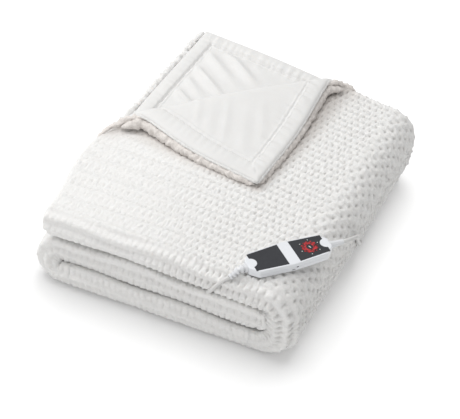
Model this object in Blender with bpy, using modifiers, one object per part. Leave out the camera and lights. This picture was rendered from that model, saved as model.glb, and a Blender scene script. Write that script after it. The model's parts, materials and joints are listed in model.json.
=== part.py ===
"""Electric heated blanket, folded up, with its switch on top and its mains lead coiled behind.

Metres, +Z up, front towards -Y.  The blanket is two panels of cloth, one plush and one smooth, sewn
together at their edges.  Each panel is drawn flat, in p (across the cloth), q (along it) and w
(through it), and then taken through the folds in the order in which a person makes them: one corner
is turned back, the length is folded in four, and the width is folded in three like a letter.  The
origin is under the middle of the folded blanket, on the surface that it lies on.
"""

import bisect
from math import acos, atan2, cos, hypot, pi, radians, sin, sqrt, tan

import bmesh
import bpy
from mathutils import Euler, Vector
from mathutils.geometry import interpolate_bezier

# ---- the cloth, flat -----------------------------------------------------------------------
CUT_LENGTH = 2.000  # along q, folded in four
PLUSH_THICK = 0.0078
SMOOTH_THICK = 0.0030
PANEL_GAP = 0.0004  # air between the two panels
LAYER_AIR = 0.0008  # air between one layer and the next
EDGE_ROLL = 0.006  # the width over which a sewn edge thins out
EDGE_THIN = 0.45  # how thick the very edge still is

LAYER = PLUSH_THICK + SMOOTH_THICK + PANEL_GAP
PITCH = LAYER + LAYER_AIR
SMOOTH_LOW = -LAYER / 2
SMOOTH_HIGH = SMOOTH_LOW + SMOOTH_THICK
PLUSH_LOW = SMOOTH_HIGH + PANEL_GAP
PLUSH_HIGH = LAYER / 2

# ---- the folds -----------------------------------------------------------------------------
BAND = 4 * PITCH  # one folded-in-four thickness
PILE = 3 * BAND
WIDTH = 0.453
OVERHANG_LEFT = 0.026  # the top band's free edge, out past the start of the left fold
SHOULDER_HIGH = 0.028  # centre-line radius of the upper corner of the big right fold
SHOULDER_LOW = 0.040  # and of its lower corner
MID_SHORT = 0.020  # the middle band's end, short of the right fold
FREE_PROUD = 0.020  # how far the top free edge at the back lies behind the fold under it
SECOND_PROUD = 0.028  # and the free edge of the layer below it
MID_RECESS = 0.012  # how far the middle band lies behind the front of the others
LOW_PROUD = 0.004  # how far the bottom band lies in front of the top one

# ---- the corner that is turned back --------------------------------------------------------
CORNER_LEFT = 0.312  # its length along the left edge
CORNER_BACK = 0.304  # and along the back edge
CORNER_ROLL = 0.0145  # radius at which it turns over
CORNER_DROP = radians(10)  # slope at which it comes down from the turn
CORNER_PULL = 0.034  # how far its tip is pulled to the left, along the fold
TURN_START = 0.012  # the turn starts this far short of the line between the two edge marks
REST_ABOVE = LAYER + 0.0016  # mid-height of its tip over the layer that it lies on

# ---- how the pile sags and leans -----------------------------------------------------------
SKEW_MEAN = 0.016  # how far the back is pushed out on average
SKEW = 0.038  # and how much further at the left end, or less at the right end
BACK_ROUND = 0.004  # how far the right end of the back is drawn in
LEFT_BOW = 0.020  # how far the top band's left edge bows out
SQUEEZE_LEFT = 0.12  # how much the weight flattens the lowest layers, at the left end
SQUEEZE_RIGHT = 0.26  # and at the right end
LEAN_FRONT = 0.010  # how far the top leans forward at the right end
LEAN_RIGHT = 0.018  # how far the right fold leans out at the top, behind its front end
SHOULDER_FILL = 0.40  # how much of the drop over the right fold's shoulder the padding fills
WAVE = 0.0025  # height of the slow waves in the top
CENTRE_X, CENTRE_Y = 0.0034, 0.0304  # the middle of the pile, before it is moved over the origin

# ---- the switch ----------------------------------------------------------------------------
SWITCH_AT = Vector((0.1796, -0.2153, 0.1471))  # middle of the seam between its two shells
SWITCH_TURN = radians(49.8)
SWITCH_TILT = radians(2.4)  # its right end is the lower one
SHELL = 0.0075  # height of each shell
HOUSING = ((0.0685, 0.0095), (0.0560, 0.0222), (0.0, 0.0262))  # a quarter of it: along, across
HOUSING_ROUND = 0.0060
RIM_TOP, RIM_BOTTOM = 0.0018, 0.0030  # how much its two rims are rounded
SEAT_LONG, SEAT_WIDE, SEAT_FADE = 0.104, 0.060, 0.032  # half sizes of its seat in the cloth
INLAY_IN, INLAY_OUT = 0.0093, 0.0605  # where a dark inlay starts and ends, from the middle
INLAY_WIDE_IN, INLAY_WIDE_OUT = 0.0228, 0.0187  # its half widths there
NOTCH, NOTCH_PAST = 0.0100, 0.0020  # radius of the notch in its outer end, and its centre past it
INLAY_THICK, INLAY_PROUD = 0.0012, 0.0002
FIT = 0.0003  # the gap that pieces keep where they meet
LIGHT_AT = 0.0350  # middle of the ring light on the right inlay
LIGHT_OUT, LIGHT_IN, LIGHT_SUNK, LIGHT_PROUD = 0.0115, 0.0055, 0.0006, 0.0003
BUTTON, BUTTON_PROUD = 0.0052, 0.0002

# ---- the leads -----------------------------------------------------------------------------
LEAD = 0.006  # diameter
LEAD_STEP = 0.0145  # from one point of a lead's tube to the next
END_STEP = 0.0015  # the first and last steps, so that its ends are cut square
LEAD_GAP = 0.0005  # between a lead and the strain relief that it comes out of
OFF_CLOTH = LEAD / 2 + 0.0016  # how far a lead's middle keeps from the cloth that it lies on
ON_FLOOR = LEAD / 2 + 0.0002
RELIEF_BLANKET, RELIEF_MAINS, RELIEF_PLUG = 0.030, 0.023, 0.026  # lengths of the strain reliefs
RELIEF_WIDE, RELIEF_NARROW, RELIEF_RIB = 0.0058, 0.0040, 0.0011  # radii, and a rib's height
RIBS = 6
COIL_AT = Vector((0.105, 0.2830, 0.0))
COIL_RADIUS = 0.031  # at the middle of its turns
COIL_WIDE, COIL_HIGH, COIL_ROUND = 0.0180, 0.0205, 0.0050  # the bundle of turns in section
PLUG_AT = Vector((0.0350, 0.3110, 0.0073))
PLUG_LONG, PLUG_WIDE, PLUG_NECK, PLUG_HIGH = 0.036, 0.0350, 0.0150, 0.0140
PLUG_SHOULDER = 0.020  # how much of its length is at full width
PIN_LONG, PIN_RADIUS, PIN_APART = 0.019, 0.0020, 0.0186


class Path:
    """A line of straights and arcs in a plane, followed by its length."""

    def __init__(self, start, heading, rows):
        self.rows = []
        self.lines = [0.0]
        at, angle, run = Vector(start), heading, 0.0
        for kind, size, turn, steps in rows:
            length = size if kind == "straight" else size * abs(turn)
            self.rows.append((run, length, kind, size, turn, at.copy(), angle))
            if kind == "straight":
                at = at + size * Vector((cos(angle), sin(angle)))
            else:
                at, angle = self.along_arc(at, angle, size, turn, 1.0)
            self.lines += [run + length * k / steps for k in range(1, steps + 1)]
            run += length
        self.starts = [row[0] for row in self.rows]
        self.length = run

    @staticmethod
    def along_arc(at, angle, radius, turn, share):
        side = 1 if turn > 0 else -1
        centre = at + side * radius * Vector((-sin(angle), cos(angle)))
        new = angle + turn * share
        return centre - side * radius * Vector((-sin(new), cos(new))), new

    def point(self, s, off):
        """The point that lies off to the left of the path, at length s along it."""
        row = self.rows[max(0, min(bisect.bisect_right(self.starts, s), len(self.rows)) - 1)]
        run, length, kind, size, turn, at, angle = row
        if kind == "straight":
            spot = at + (s - run) * Vector((cos(angle), sin(angle)))
        else:
            spot, angle = self.along_arc(at, angle, size, turn, (s - run) / length)
        return spot + off * Vector((-sin(angle), cos(angle)))


def fold_in_four():
    """The path along the cloth, in y and n: n is the height within a band, from its middle."""
    bends = pi * PITCH * (1.5 + 0.5 + 0.5)
    straight = (CUT_LENGTH - bends - FREE_PROUD - SECOND_PROUD) / 4
    steps = 5  # the same in each layer, so that no layer cuts into the next where the pile bends
    rows = (
        ("straight", FREE_PROUD, 0, 1),  # the free edge of the top layer
        ("straight", straight, 0, steps),  # first layer, on top, to the front
        ("arc", 1.5 * PITCH, pi, 6),  # round the outside of the front fold
        ("straight", straight, 0, steps),  # fourth layer, to the back
        ("arc", 0.5 * PITCH, pi, 4),  # the fold at the back
        ("straight", straight, 0, steps),  # third layer, to the front
        ("arc", 0.5 * PITCH, -pi, 4),  # round the inside of the front fold
        ("straight", straight, 0, steps),  # second layer, to the back
        ("straight", SECOND_PROUD, 0, 1),  # and its free edge
    )
    return Path((straight / 2 + FREE_PROUD, 1.5 * PITCH), pi, rows), straight


def fold_in_three():
    """The path across the cloth, in x and z, at the middle of a band."""
    side = WIDTH / 2 - 2 * PITCH
    left = -WIDTH / 2 + 4 * PITCH
    end = side - SHOULDER_HIGH - MID_SHORT
    rows = (
        ("straight", side - SHOULDER_HIGH - left + OVERHANG_LEFT, 0, 6),  # the top band
        ("arc", SHOULDER_HIGH, -pi / 2, 4),
        ("straight", 2 * BAND - SHOULDER_HIGH - SHOULDER_LOW, 0, 1),
        ("arc", SHOULDER_LOW, -pi / 2, 4),
        ("straight", side - SHOULDER_LOW - left, 0, 4),  # the bottom band
        ("arc", BAND / 2, -pi, 6),  # the left fold
        ("straight", end - left, 0, 4),  # the middle band
    )
    return Path((left - OVERHANG_LEFT, 2.5 * BAND), 0.0, rows)


ALONG, DEPTH = fold_in_four()
ACROSS = fold_in_three()
CUT_WIDTH = ACROSS.length
SHOULDER_X = ACROSS.rows[1][5].x
FOLD_LINE = 1 / sqrt(1 / CORNER_BACK**2 + 1 / CORNER_LEFT**2)
TURN_END = CORNER_ROLL * (pi + CORNER_DROP)


def smooth(t):
    t = max(0.0, min(1.0, t))
    return t * t * (3 - 2 * t)


def corner_curve():
    """The turned-back corner seen along its fold: its step, and (forward, up) a step apart."""
    step = 0.0005
    u = w = 0.0
    rows = [(u, w)]
    for k in range(int((FOLD_LINE + 0.03) / step)):
        angle = k * step / CORNER_ROLL
        if k * step > TURN_END:
            near = smooth((REST_ABOVE + 0.010 - w) / 0.010)
            angle = pi + CORNER_DROP * (1 - near)
        u += step * cos(angle)
        w += step * sin(angle)
        if k * step > TURN_END:
            w = max(w, REST_ABOVE)
        rows.append((u, w))
    return step, rows


CORNER_STEP, CORNER_ROWS = corner_curve()


def turn_corner(p, q, w):
    """Turns the corner at p = q = 0 back over the cloth, about the line between its two marks."""
    past = FOLD_LINE * (1 - p / CORNER_BACK - q / CORNER_LEFT) + TURN_START
    if past <= 0:
        return p, q, w
    k = min(int(past / CORNER_STEP), len(CORNER_ROWS) - 2)
    (u0, w0), (u1, w1) = CORNER_ROWS[k], CORNER_ROWS[k + 1]
    share = past / CORNER_STEP - k
    du, dw = u1 - u0, w1 - w0
    size = hypot(du, dw)
    shift = u0 + share * du - w * dw / size - past
    up = w0 + share * dw + w * du / size
    pull = CORNER_PULL * max(0.0, past - CORNER_ROLL * pi) / FOLD_LINE
    p -= shift * FOLD_LINE / CORNER_BACK + pull * FOLD_LINE / CORNER_LEFT
    q -= shift * FOLD_LINE / CORNER_LEFT - pull * FOLD_LINE / CORNER_BACK
    return p, q, up


def recess(p):
    """How far back the cloth lies at p, from the front of the top band."""
    top_end, low_start, low_end, mid_start = (ACROSS.starts[k] for k in (1, 4, 5, 6))
    out = smooth((p - top_end) / (low_start - top_end)) * LOW_PROUD
    return smooth((p - low_end) / (mid_start - low_end)) * (MID_RECESS + LOW_PROUD) - out


def round_drop(past, radius):
    """How far a round edge has dropped at a distance past its start."""
    past = min(max(past, 0.0), 0.9 * radius)
    return radius - sqrt(radius**2 - past**2)


def settle(x, y, z):
    """The skew, lean and sag of the whole pile, and the seat that the switch has in its top."""
    share = (y + DEPTH / 2) / DEPTH
    side = 2 * x / WIDTH
    rightward = smooth((side + 1) / 2)
    over_right = round_drop(x - SHOULDER_X, SHOULDER_HIGH + 2 * PITCH)
    top = PILE - LAYER_AIR / 2 - over_right - round_drop(-DEPTH / 2 - y, 2 * PITCH)
    y += share * (SKEW_MEAN - SKEW * side - BACK_ROUND * smooth((side - 0.3) / 0.5))
    y -= LEAN_FRONT * z / PILE * rightward * (1 - share) + CENTRE_Y
    bow = sin(pi * min(max(share / 0.56, 0.0), 1.0)) ** 2
    x -= LEFT_BOW * smooth((z - 1.8 * BAND) / (0.6 * BAND)) * smooth(-side) * bow + CENTRE_X
    x += LEAN_RIGHT * (z / PILE - 0.25) * smooth(side) * smooth(share / 0.6)
    squeeze = SQUEEZE_LEFT + (SQUEEZE_RIGHT - SQUEEZE_LEFT) * rightward
    wave = cos(2 * pi * (x + 0.053) / 0.40) + 0.8 * cos(2 * pi * (y - 0.030) / 0.52)

    def sag(z):
        height = 1 - squeeze * max(0.0, 1 - z / PILE) + WAVE / PILE * wave
        return z * height + SHOULDER_FILL * over_right * (z / PILE) ** 2

    along = (x - SWITCH_AT.x) * cos(SWITCH_TURN) + (y - SWITCH_AT.y) * sin(SWITCH_TURN)
    across = (y - SWITCH_AT.y) * cos(SWITCH_TURN) - (x - SWITCH_AT.x) * sin(SWITCH_TURN)
    seat = smooth((SEAT_LONG - abs(along)) / SEAT_FADE) * smooth((SEAT_WIDE - abs(across)) / SEAT_FADE)
    base = SWITCH_AT.z - SHELL - FIT - along * tan(SWITCH_TILT)
    press = seat * min(base - sag(top), 0.0) * (z / top) ** 2
    return Vector((x, y, sag(z) + press))


def folded(p, q, w):
    """Where a point of the flat cloth lies once it is folded."""
    p, q, w = turn_corner(p, q, w)
    y, n = ALONG.point(q, -w)
    x, z = ACROSS.point(p, n)
    return settle(x, y + recess(p), z - LAYER_AIR / 2)


def cloth_share(p, q):
    """The cloth thins out at its four sewn edges."""
    edge = min(p, q, CUT_WIDTH - p, CUT_LENGTH - q)
    return EDGE_THIN + (1 - EDGE_THIN) * smooth(edge / EDGE_ROLL)


def flat_mesh():
    """The flat cloth as triangles, cut along every line that a fold needs."""
    bm = bmesh.new()
    corners = ((0, 0), (CUT_WIDTH, 0), (CUT_WIDTH, CUT_LENGTH), (0, CUT_LENGTH))
    bm.faces.new([bm.verts.new((p, q, 0)) for p, q in corners])

    def cut(point, normal, faces):
        geom = {*faces, *(e for f in faces for e in f.edges), *(v for f in faces for v in f.verts)}
        bmesh.ops.bisect_plane(bm, geom=list(geom), dist=1e-6, plane_co=point, plane_no=normal)

    for p in (EDGE_ROLL, *ACROSS.lines[1:-1], CUT_WIDTH - EDGE_ROLL):
        cut((p, 0, 0), (1, 0, 0), bm.faces[:])
    for q in (EDGE_ROLL, *ALONG.lines[1:-1], CUT_LENGTH - EDGE_ROLL):
        cut((0, q, 0), (0, 1, 0), bm.faces[:])
    normal = Vector((1 / CORNER_BACK, 1 / CORNER_LEFT, 0)).normalized()
    turn = [TURN_END * k / 8 for k in range(9)]
    down = [TURN_END + (FOLD_LINE - TURN_END) * k / 4 for k in range(1, 4)]
    for past in turn + down:
        near = [f for f in bm.faces if f.calc_center_median().dot(normal) < FOLD_LINE + 0.05]
        cut(normal * (FOLD_LINE + TURN_START - past), normal, near)
    bmesh.ops.triangulate(bm, faces=bm.faces[:], quad_method="FIXED")
    return bm


def finish(name, bm, material, parent=None):
    """Makes an object of a bmesh."""
    mesh = bpy.data.meshes.new(name)
    bm.to_mesh(mesh)
    bm.free()
    return add(name, mesh, material, parent)


def panel(name, low, high, material):
    """One panel of the cloth, from w = low to w = high, folded."""
    bm = flat_mesh()
    made = bmesh.ops.extrude_face_region(bm, geom=bm.faces[:])
    top = {v for v in made["geom"] if isinstance(v, bmesh.types.BMVert)}
    for v in top:
        v.co.z = LAYER
    bmesh.ops.recalc_face_normals(bm, faces=bm.faces[:])
    middle = (low + high) / 2
    for v in bm.verts:
        p, q = v.co.x, v.co.y
        w = middle + cloth_share(p, q) * ((high if v in top else low) - middle)
        v.co = folded(p, q, w)
    bmesh.ops.reverse_faces(bm, faces=bm.faces[:])  # the folds mirror the cloth
    return finish(name, bm, material)


def material(name, colour, roughness, metallic=0.0):
    made = bpy.data.materials.new(name)
    made.use_nodes = True
    shader = made.node_tree.nodes["Principled BSDF"]
    shader.inputs["Base Color"].default_value = (*colour, 1)
    shader.inputs["Roughness"].default_value = roughness
    shader.inputs["Metallic"].default_value = metallic
    return made


def rounded(corners, radius, steps=5):
    """A closed outline with its corners turned on a radius."""
    outline = []
    for k, corner in enumerate(corners):
        here = Vector(corner)
        back = (Vector(corners[k - 1]) - here).normalized()
        on = (Vector(corners[(k + 1) % len(corners)]) - here).normalized()
        half = back.angle(on) / 2
        centre = here + (back + on).normalized() * radius / sin(half)
        first = here + back * radius / tan(half) - centre
        last = here + on * radius / tan(half) - centre
        start = atan2(first.y, first.x)
        turn = (atan2(last.y, last.x) - start + pi) % (2 * pi) - pi
        for step in range(steps + 1):
            angle = start + turn * step / steps
            outline.append((centre.x + radius * cos(angle), centre.y + radius * sin(angle)))
    return outline


def plate(name, outline, low, high, surface, parent=None):
    """A flat piece with this outline, from z = low to z = high, as one closed mesh."""
    curve = bpy.data.curves.new(name, "CURVE")
    curve.dimensions = "2D"
    curve.fill_mode = "BOTH"
    curve.extrude = (high - low) / 2
    spline = curve.splines.new("POLY")
    spline.points.add(len(outline) - 1)
    for point, (x, y) in zip(spline.points, outline):
        point.co = (x, y, 0, 1)
    spline.use_cyclic_u = True
    draft = bpy.data.objects.new(name, curve)
    mesh = bpy.data.meshes.new_from_object(draft)
    bpy.data.objects.remove(draft)
    bm = bmesh.new()
    bm.from_mesh(mesh)
    bmesh.ops.remove_doubles(bm, verts=bm.verts, dist=1e-6)
    bmesh.ops.recalc_face_normals(bm, faces=bm.faces[:])
    bmesh.ops.dissolve_limit(bm, angle_limit=radians(0.5), verts=bm.verts[:], edges=bm.edges[:])
    bmesh.ops.translate(bm, verts=bm.verts, vec=(0, 0, (high + low) / 2))
    return finish(name, bm, surface, parent)


def add(name, data, surface, parent=None):
    """Makes an object in the blanket's collection."""
    data.materials.append(surface)
    thing = bpy.data.objects.new(name, data)
    thing.parent = parent
    parts.objects.link(thing)
    return thing


def round_rim(thing, height, size, steps=3):
    """Rounds the rim of a plate that lies at this height."""
    bm = bmesh.new()
    bm.from_mesh(thing.data)
    rim = [e for e in bm.edges if all(abs(v.co.z - height) < 1e-6 for v in e.verts)]
    bmesh.ops.bevel(bm, geom=rim, offset=size, segments=steps, profile=0.5, affect="EDGES")
    bm.to_mesh(thing.data)
    bm.free()
    shade(thing.data)


def shade(mesh):
    mesh.shade_smooth()
    mesh.set_sharp_from_angle(angle=radians(40))


def turned(name, profile, surface, steps=48, parent=None):
    """A ring turned about its own Z, from (radius, height) points that start down its outer side."""
    mesh = bpy.data.meshes.new(name)
    ring = range(len(profile))
    mesh.from_pydata([(r, 0, z) for r, z in profile], [(k, (k + 1) % len(profile)) for k in ring], [])
    thing = add(name, mesh, surface, parent)
    screw = thing.modifiers.new("turn", "SCREW")
    screw.steps = screw.render_steps = steps
    screw.use_merge_vertices = True
    screw.merge_threshold = 0.00001
    screw.use_smooth_shade = True
    return thing


def disc(name, radius, low, high, surface, parent=None, segments=48):
    """A round piece from z = low to z = high."""
    bm = bmesh.new()
    bmesh.ops.create_cone(
        bm, cap_ends=True, segments=segments, radius1=radius, radius2=radius, depth=high - low
    )
    bmesh.ops.translate(bm, verts=bm.verts, vec=(0, 0, (high + low) / 2))
    thing = finish(name, bm, surface, parent)
    shade(thing.data)
    return thing


def cut(thing, cutter):
    """Cuts one piece's shape out of another."""
    for old in cutter.users_collection:
        old.objects.unlink(cutter)
    cutters.objects.link(cutter)
    cutter.hide_render = True
    cutter.display_type = "WIRE"
    taken = thing.modifiers.new("cut", "BOOLEAN")
    taken.object = cutter
    taken.solver = "EXACT"


def inlay_outline(side, grow):
    """The outline of the dark inlay on one side of the switch, grown all round."""
    slope = (INLAY_WIDE_OUT - INLAY_WIDE_IN) / (INLAY_OUT - INLAY_IN)
    near, far = INLAY_IN - grow, INLAY_OUT + grow
    wide_near = INLAY_WIDE_IN + grow - slope * grow
    wide_far = INLAY_WIDE_OUT + grow + slope * grow
    middle, radius = INLAY_OUT + NOTCH_PAST, NOTCH - grow
    mouth = acos((far - middle) / radius)
    notch = [mouth + (2 * pi - 2 * mouth) * k / 12 for k in range(13)]
    points = [(near, -wide_near), (far, -wide_far)]
    points += [(middle + radius * cos(a), -radius * sin(-a)) for a in reversed(notch)]
    points += [(far, wide_far), (near, wide_near)]
    return [(side * x, side * y) for x, y in points]


def along_route(route, fine=24):
    """A smooth line through a route's points, as many close points."""
    ends = [2 * route[0] - route[1], *route, 2 * route[-1] - route[-2]]
    line = [route[0].copy()]
    for a, b, c, d in zip(ends, ends[1:], ends[2:], ends[3:]):
        reach = (c - b).length / 3
        first, second = b + (c - a).normalized() * reach, c - (d - b).normalized() * reach
        line += interpolate_bezier(b, first, second, c, fine + 1)[1:]
    return line


def read_line(line, lengths):
    """The points at these lengths along a line."""
    runs = [0.0]
    for a, b in zip(line, line[1:]):
        runs.append(runs[-1] + (b - a).length)
    found = []
    for length in lengths:
        k = max(1, min(bisect.bisect_left(runs, length), len(line) - 1))
        share = (length - runs[k - 1]) / (runs[k] - runs[k - 1])
        found.append(line[k - 1].lerp(line[k], share))
    return found, runs[-1]


def tube(name, points, radii, surface, sides=3):
    """A round piece along a line of points, with filled ends."""
    curve = bpy.data.curves.new(name, "CURVE")
    curve.dimensions = "3D"
    curve.bevel_depth = LEAD / 2
    curve.bevel_resolution = sides
    curve.use_fill_caps = True
    spline = curve.splines.new("POLY")
    spline.points.add(len(points) - 1)
    for point, place, radius in zip(spline.points, points, radii):
        point.co = (*place, 1)
        point.radius = radius / (LEAD / 2)
    return add(name, curve, surface)


def relief_radii(length, ribbed):
    """How a strain relief narrows, as (length along it, radius) points."""
    rows = []
    for k in range(RIBS):
        for share in (0.04, 0.14, 0.62, 0.72) if ribbed else (0.5,):
            at = (k + share) / RIBS
            taper = RELIEF_WIDE + (RELIEF_NARROW - RELIEF_WIDE) * at
            raised = RELIEF_RIB * (1 - 0.5 * at) if share in (0.14, 0.62) else 0.0
            rows.append((at * (length - 2 * END_STEP), taper + raised))
    return [(0.0, RELIEF_WIDE), *rows, (length - END_STEP, RELIEF_NARROW), (length, RELIEF_NARROW)]


def lead(name, relief_name, route, relief, ribbed=False):
    """A lead along its route, behind its strain relief."""
    line = along_route(route)
    rows = relief_radii(relief, ribbed)
    points, length = read_line(line, [run for run, radius in rows])
    tube(relief_name, points, [radius for run, radius in rows], grey if ribbed else white)
    start = relief + LEAD_GAP
    count = round((length - start) / LEAD_STEP)
    runs = [start + (length - start) * k / count for k in range(count + 1)]
    points, length = read_line(line, [start, start + END_STEP, *runs[1:-1], length - END_STEP, length])
    tube(name, points, [LEAD / 2] * len(points), lead_grey)
    print(name, "is", round(length - relief, 3), "m long")


def by_fold(along, y, off=OFF_CLOTH):
    """A point just off the outside of the big right fold, at a length along its path."""
    x, z = ACROSS.point(along, 2 * PITCH + off)
    return settle(x, y, z)


def by_front(x, angle, off=OFF_CLOTH):
    """A point just off the top band's front fold, at an angle up from straight in front."""
    radius = 2 * PITCH + off
    return settle(x, -DEPTH / 2 - radius * cos(angle), 2.5 * BAND + radius * sin(angle))


for old in list(bpy.data.objects):
    bpy.data.objects.remove(old)
parts = bpy.data.collections.new("heated_blanket")
cutters = bpy.data.collections.new("cutters")
bpy.context.scene.collection.children.link(parts)
bpy.context.scene.collection.children.link(cutters)

# ---- the blanket ---------------------------------------------------------------------------
plush = material("plush", (0.87, 0.86, 0.84), 0.9)
smooth_cloth = material("smooth_cloth", (0.88, 0.87, 0.85), 0.8)
panel("blanket_face", PLUSH_LOW, PLUSH_HIGH, plush)
panel("blanket_reverse", SMOOTH_LOW, SMOOTH_HIGH, smooth_cloth)

# ---- the switch ----------------------------------------------------------------------------
white = material("white_plastic", (0.83, 0.84, 0.87), 0.35)
dark = material("dark_inlay", (0.030, 0.036, 0.050), 0.40)
red = material("red_light", (0.70, 0.04, 0.03), 0.35)
switch = bpy.data.objects.new("switch", None)
switch.location = SWITCH_AT
switch.rotation_euler = (0, SWITCH_TILT, SWITCH_TURN)
parts.objects.link(switch)

quarter = [(x, y) for x, y in HOUSING]
right_half = [(x, -y) for x, y in reversed(quarter)] + quarter
left_half = [(-x, -y) for x, y in right_half][1:-1]
housing = rounded(right_half + left_half, HOUSING_ROUND)
cover = plate("switch_cover", housing, FIT / 2, SHELL, white, switch)
round_rim(cover, SHELL, RIM_TOP)
base = plate("switch_base", housing, -SHELL, -FIT / 2, white, switch)
round_rim(base, -SHELL, RIM_BOTTOM)

inlay_top = SHELL + INLAY_PROUD
inlay_base = inlay_top - INLAY_THICK
for side, name in ((-1, "inlay_left"), (1, "inlay_right")):
    inlay = plate(name, inlay_outline(side, 0.0), inlay_base, inlay_top, dark, switch)
    pocket = plate(name + "_pocket", inlay_outline(side, FIT), inlay_base - FIT, SHELL + 0.001, dark, switch)
    cut(cover, pocket)

sunk = inlay_top - LIGHT_SUNK
well = disc("light_well", LIGHT_OUT + FIT, sunk - FIT, SHELL + 0.001, dark, switch)
light_profile = [(LIGHT_OUT, inlay_top + LIGHT_PROUD), (LIGHT_OUT, sunk)]
light_profile += [(LIGHT_IN, sunk), (LIGHT_IN, inlay_top + LIGHT_PROUD)]
light = turned("ring_light", light_profile, red, parent=switch)
button = disc("switch_button", BUTTON, sunk, inlay_top + BUTTON_PROUD, dark, switch)
for thing in (well, light, button):
    thing.location.x = LIGHT_AT
cut(inlay, well)

# ---- the lead to the blanket and the mains lead --------------------------------------------
grey = material("relief_plastic", (0.78, 0.79, 0.82), 0.45)
lead_grey = material("lead_sleeve", (0.76, 0.77, 0.80), 0.45)
pointing = Euler(switch.rotation_euler).to_matrix() @ Vector((1, 0, 0))
half_long = HOUSING[0][0] + FIT
left_end, right_end = SWITCH_AT - pointing * half_long, SWITCH_AT + pointing * half_long

blanket_route = [left_end, left_end - pointing * 0.012]
for x, angle in ((0.1240, 66), (0.1120, 40), (0.1005, 10), (0.0915, -20), (0.0850, -48), (0.0805, -72)):
    blanket_route.append(by_front(x, radians(angle)))
lead("lead_blanket", "relief_blanket", blanket_route, RELIEF_BLANKET, ribbed=True)

shoulder, side_start, low_start, floor_start = ACROSS.starts[1:5]
side_end = (side_start + low_start) / 2
mains_route = [right_end + pointing * step for step in (0, 0.012, 0.023, 0.030)]
mains_route.append(right_end + Vector((0.0275, 0.0460, -0.0090)))
shoulder = ACROSS.starts[1]
down = ((0.045, -0.0236), (0.055, -0.0170), (0.067, -0.0080), (0.079, 0.0060), (0.090, 0.030), (0.100, 0.060))
for along, y in down:
    mains_route.append(by_fold(shoulder + along, y))
mains_route.append(Vector((0.2015, 0.076, 0.0062)))
floor_points = ((0.1975, 0.104), (0.1955, 0.130), (0.1955, 0.158), (0.1940, 0.187), (0.1860, 0.214))
mains_route += [Vector((x, y, ON_FLOOR)) for x, y in floor_points]
beside_coil = COIL_RADIUS + COIL_WIDE / 2 + FIT + LEAD / 2
for along, across in ((-0.046, 0.0107), (-0.024, 0.0014), (0.0, 0.0)):
    mains_route.append(COIL_AT + Vector((beside_coil + across, along, ON_FLOOR)))
lead("lead_mains", "relief_mains", mains_route, RELIEF_MAINS)

# ---- the coil and the plug -----------------------------------------------------------------
inside, outside = COIL_RADIUS - COIL_WIDE / 2, COIL_RADIUS + COIL_WIDE / 2
section = [(outside, COIL_HIGH), (outside, 0.0), (inside, 0.0), (inside, COIL_HIGH)]
coil = turned("lead_coil", rounded(section, COIL_ROUND, 2), lead_grey, 40)
coil.location = COIL_AT + Vector((0, 0, ON_FLOOR - LEAD / 2))

plug_end = PLUG_AT + Vector((FIT, 0, 0))
plug_route = [plug_end + Vector((step, 0, 0)) for step in (0, 0.013, 0.026, 0.031)]
plug_route += [PLUG_AT + Vector(step) for step in ((0.042, 0.0050, -0.0018), (0.055, 0.0131, -0.0036))]
plug_route.append(COIL_AT + Vector((0.0, beside_coil, ON_FLOOR)))
lead("lead_plug", "relief_plug", plug_route, RELIEF_PLUG)

plug_corners = [(-PLUG_LONG, PLUG_WIDE / 2), (-PLUG_LONG, -PLUG_WIDE / 2)]
plug_corners += [(PLUG_SHOULDER - PLUG_LONG, -PLUG_WIDE / 2), (0.0, -PLUG_NECK / 2)]
plug_corners += [(0.0, PLUG_NECK / 2), (PLUG_SHOULDER - PLUG_LONG, PLUG_WIDE / 2)]
plug = plate("plug", rounded(plug_corners, 0.004), -PLUG_HIGH / 2, PLUG_HIGH / 2, white)
plug.location = PLUG_AT
for height in (-PLUG_HIGH / 2, PLUG_HIGH / 2):
    round_rim(plug, height, 0.003)
metal = material("pin_metal", (0.80, 0.70, 0.45), 0.3, 1.0)
for number, side in ((1, -1), (2, 1)):
    pin = disc(f"plug_pin_{number}", PIN_RADIUS, FIT, PIN_LONG, metal, plug, 24)
    pin.location = (-PLUG_LONG, side * PIN_APART / 2, 0)
    pin.rotation_euler.y = -pi / 2
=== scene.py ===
# %% [markdown]
# # A folded electric heated blanket
# The blanket is two panels of cloth sewn together at their edges: a plush one outside, with rows of
# small pits in its pile, and a smooth one inside.  It lies folded in four along its length and in
# three across its width, with one corner turned back, and its hand switch lies on top.  The packed
# model is loaded first, as a fixed frame in metres, and the finer pieces below go round it.

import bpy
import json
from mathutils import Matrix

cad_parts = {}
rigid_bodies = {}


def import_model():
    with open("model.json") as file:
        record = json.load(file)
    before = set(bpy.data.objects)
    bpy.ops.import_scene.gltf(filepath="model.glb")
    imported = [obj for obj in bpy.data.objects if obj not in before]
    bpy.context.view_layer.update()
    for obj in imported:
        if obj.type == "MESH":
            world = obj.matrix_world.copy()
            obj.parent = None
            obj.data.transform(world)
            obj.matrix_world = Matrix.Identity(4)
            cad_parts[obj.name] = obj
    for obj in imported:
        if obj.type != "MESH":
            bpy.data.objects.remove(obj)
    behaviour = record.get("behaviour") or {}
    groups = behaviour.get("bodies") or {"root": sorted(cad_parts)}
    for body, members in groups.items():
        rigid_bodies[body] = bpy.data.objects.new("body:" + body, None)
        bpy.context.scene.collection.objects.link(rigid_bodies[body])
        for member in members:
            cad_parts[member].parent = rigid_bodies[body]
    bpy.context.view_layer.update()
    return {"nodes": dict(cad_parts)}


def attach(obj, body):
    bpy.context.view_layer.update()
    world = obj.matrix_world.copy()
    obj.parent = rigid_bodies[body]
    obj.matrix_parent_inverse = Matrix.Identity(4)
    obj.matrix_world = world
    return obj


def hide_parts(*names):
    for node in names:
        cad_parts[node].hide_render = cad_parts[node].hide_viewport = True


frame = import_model()

import json
from math import cos, pi, radians, sin, sqrt, tan

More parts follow.
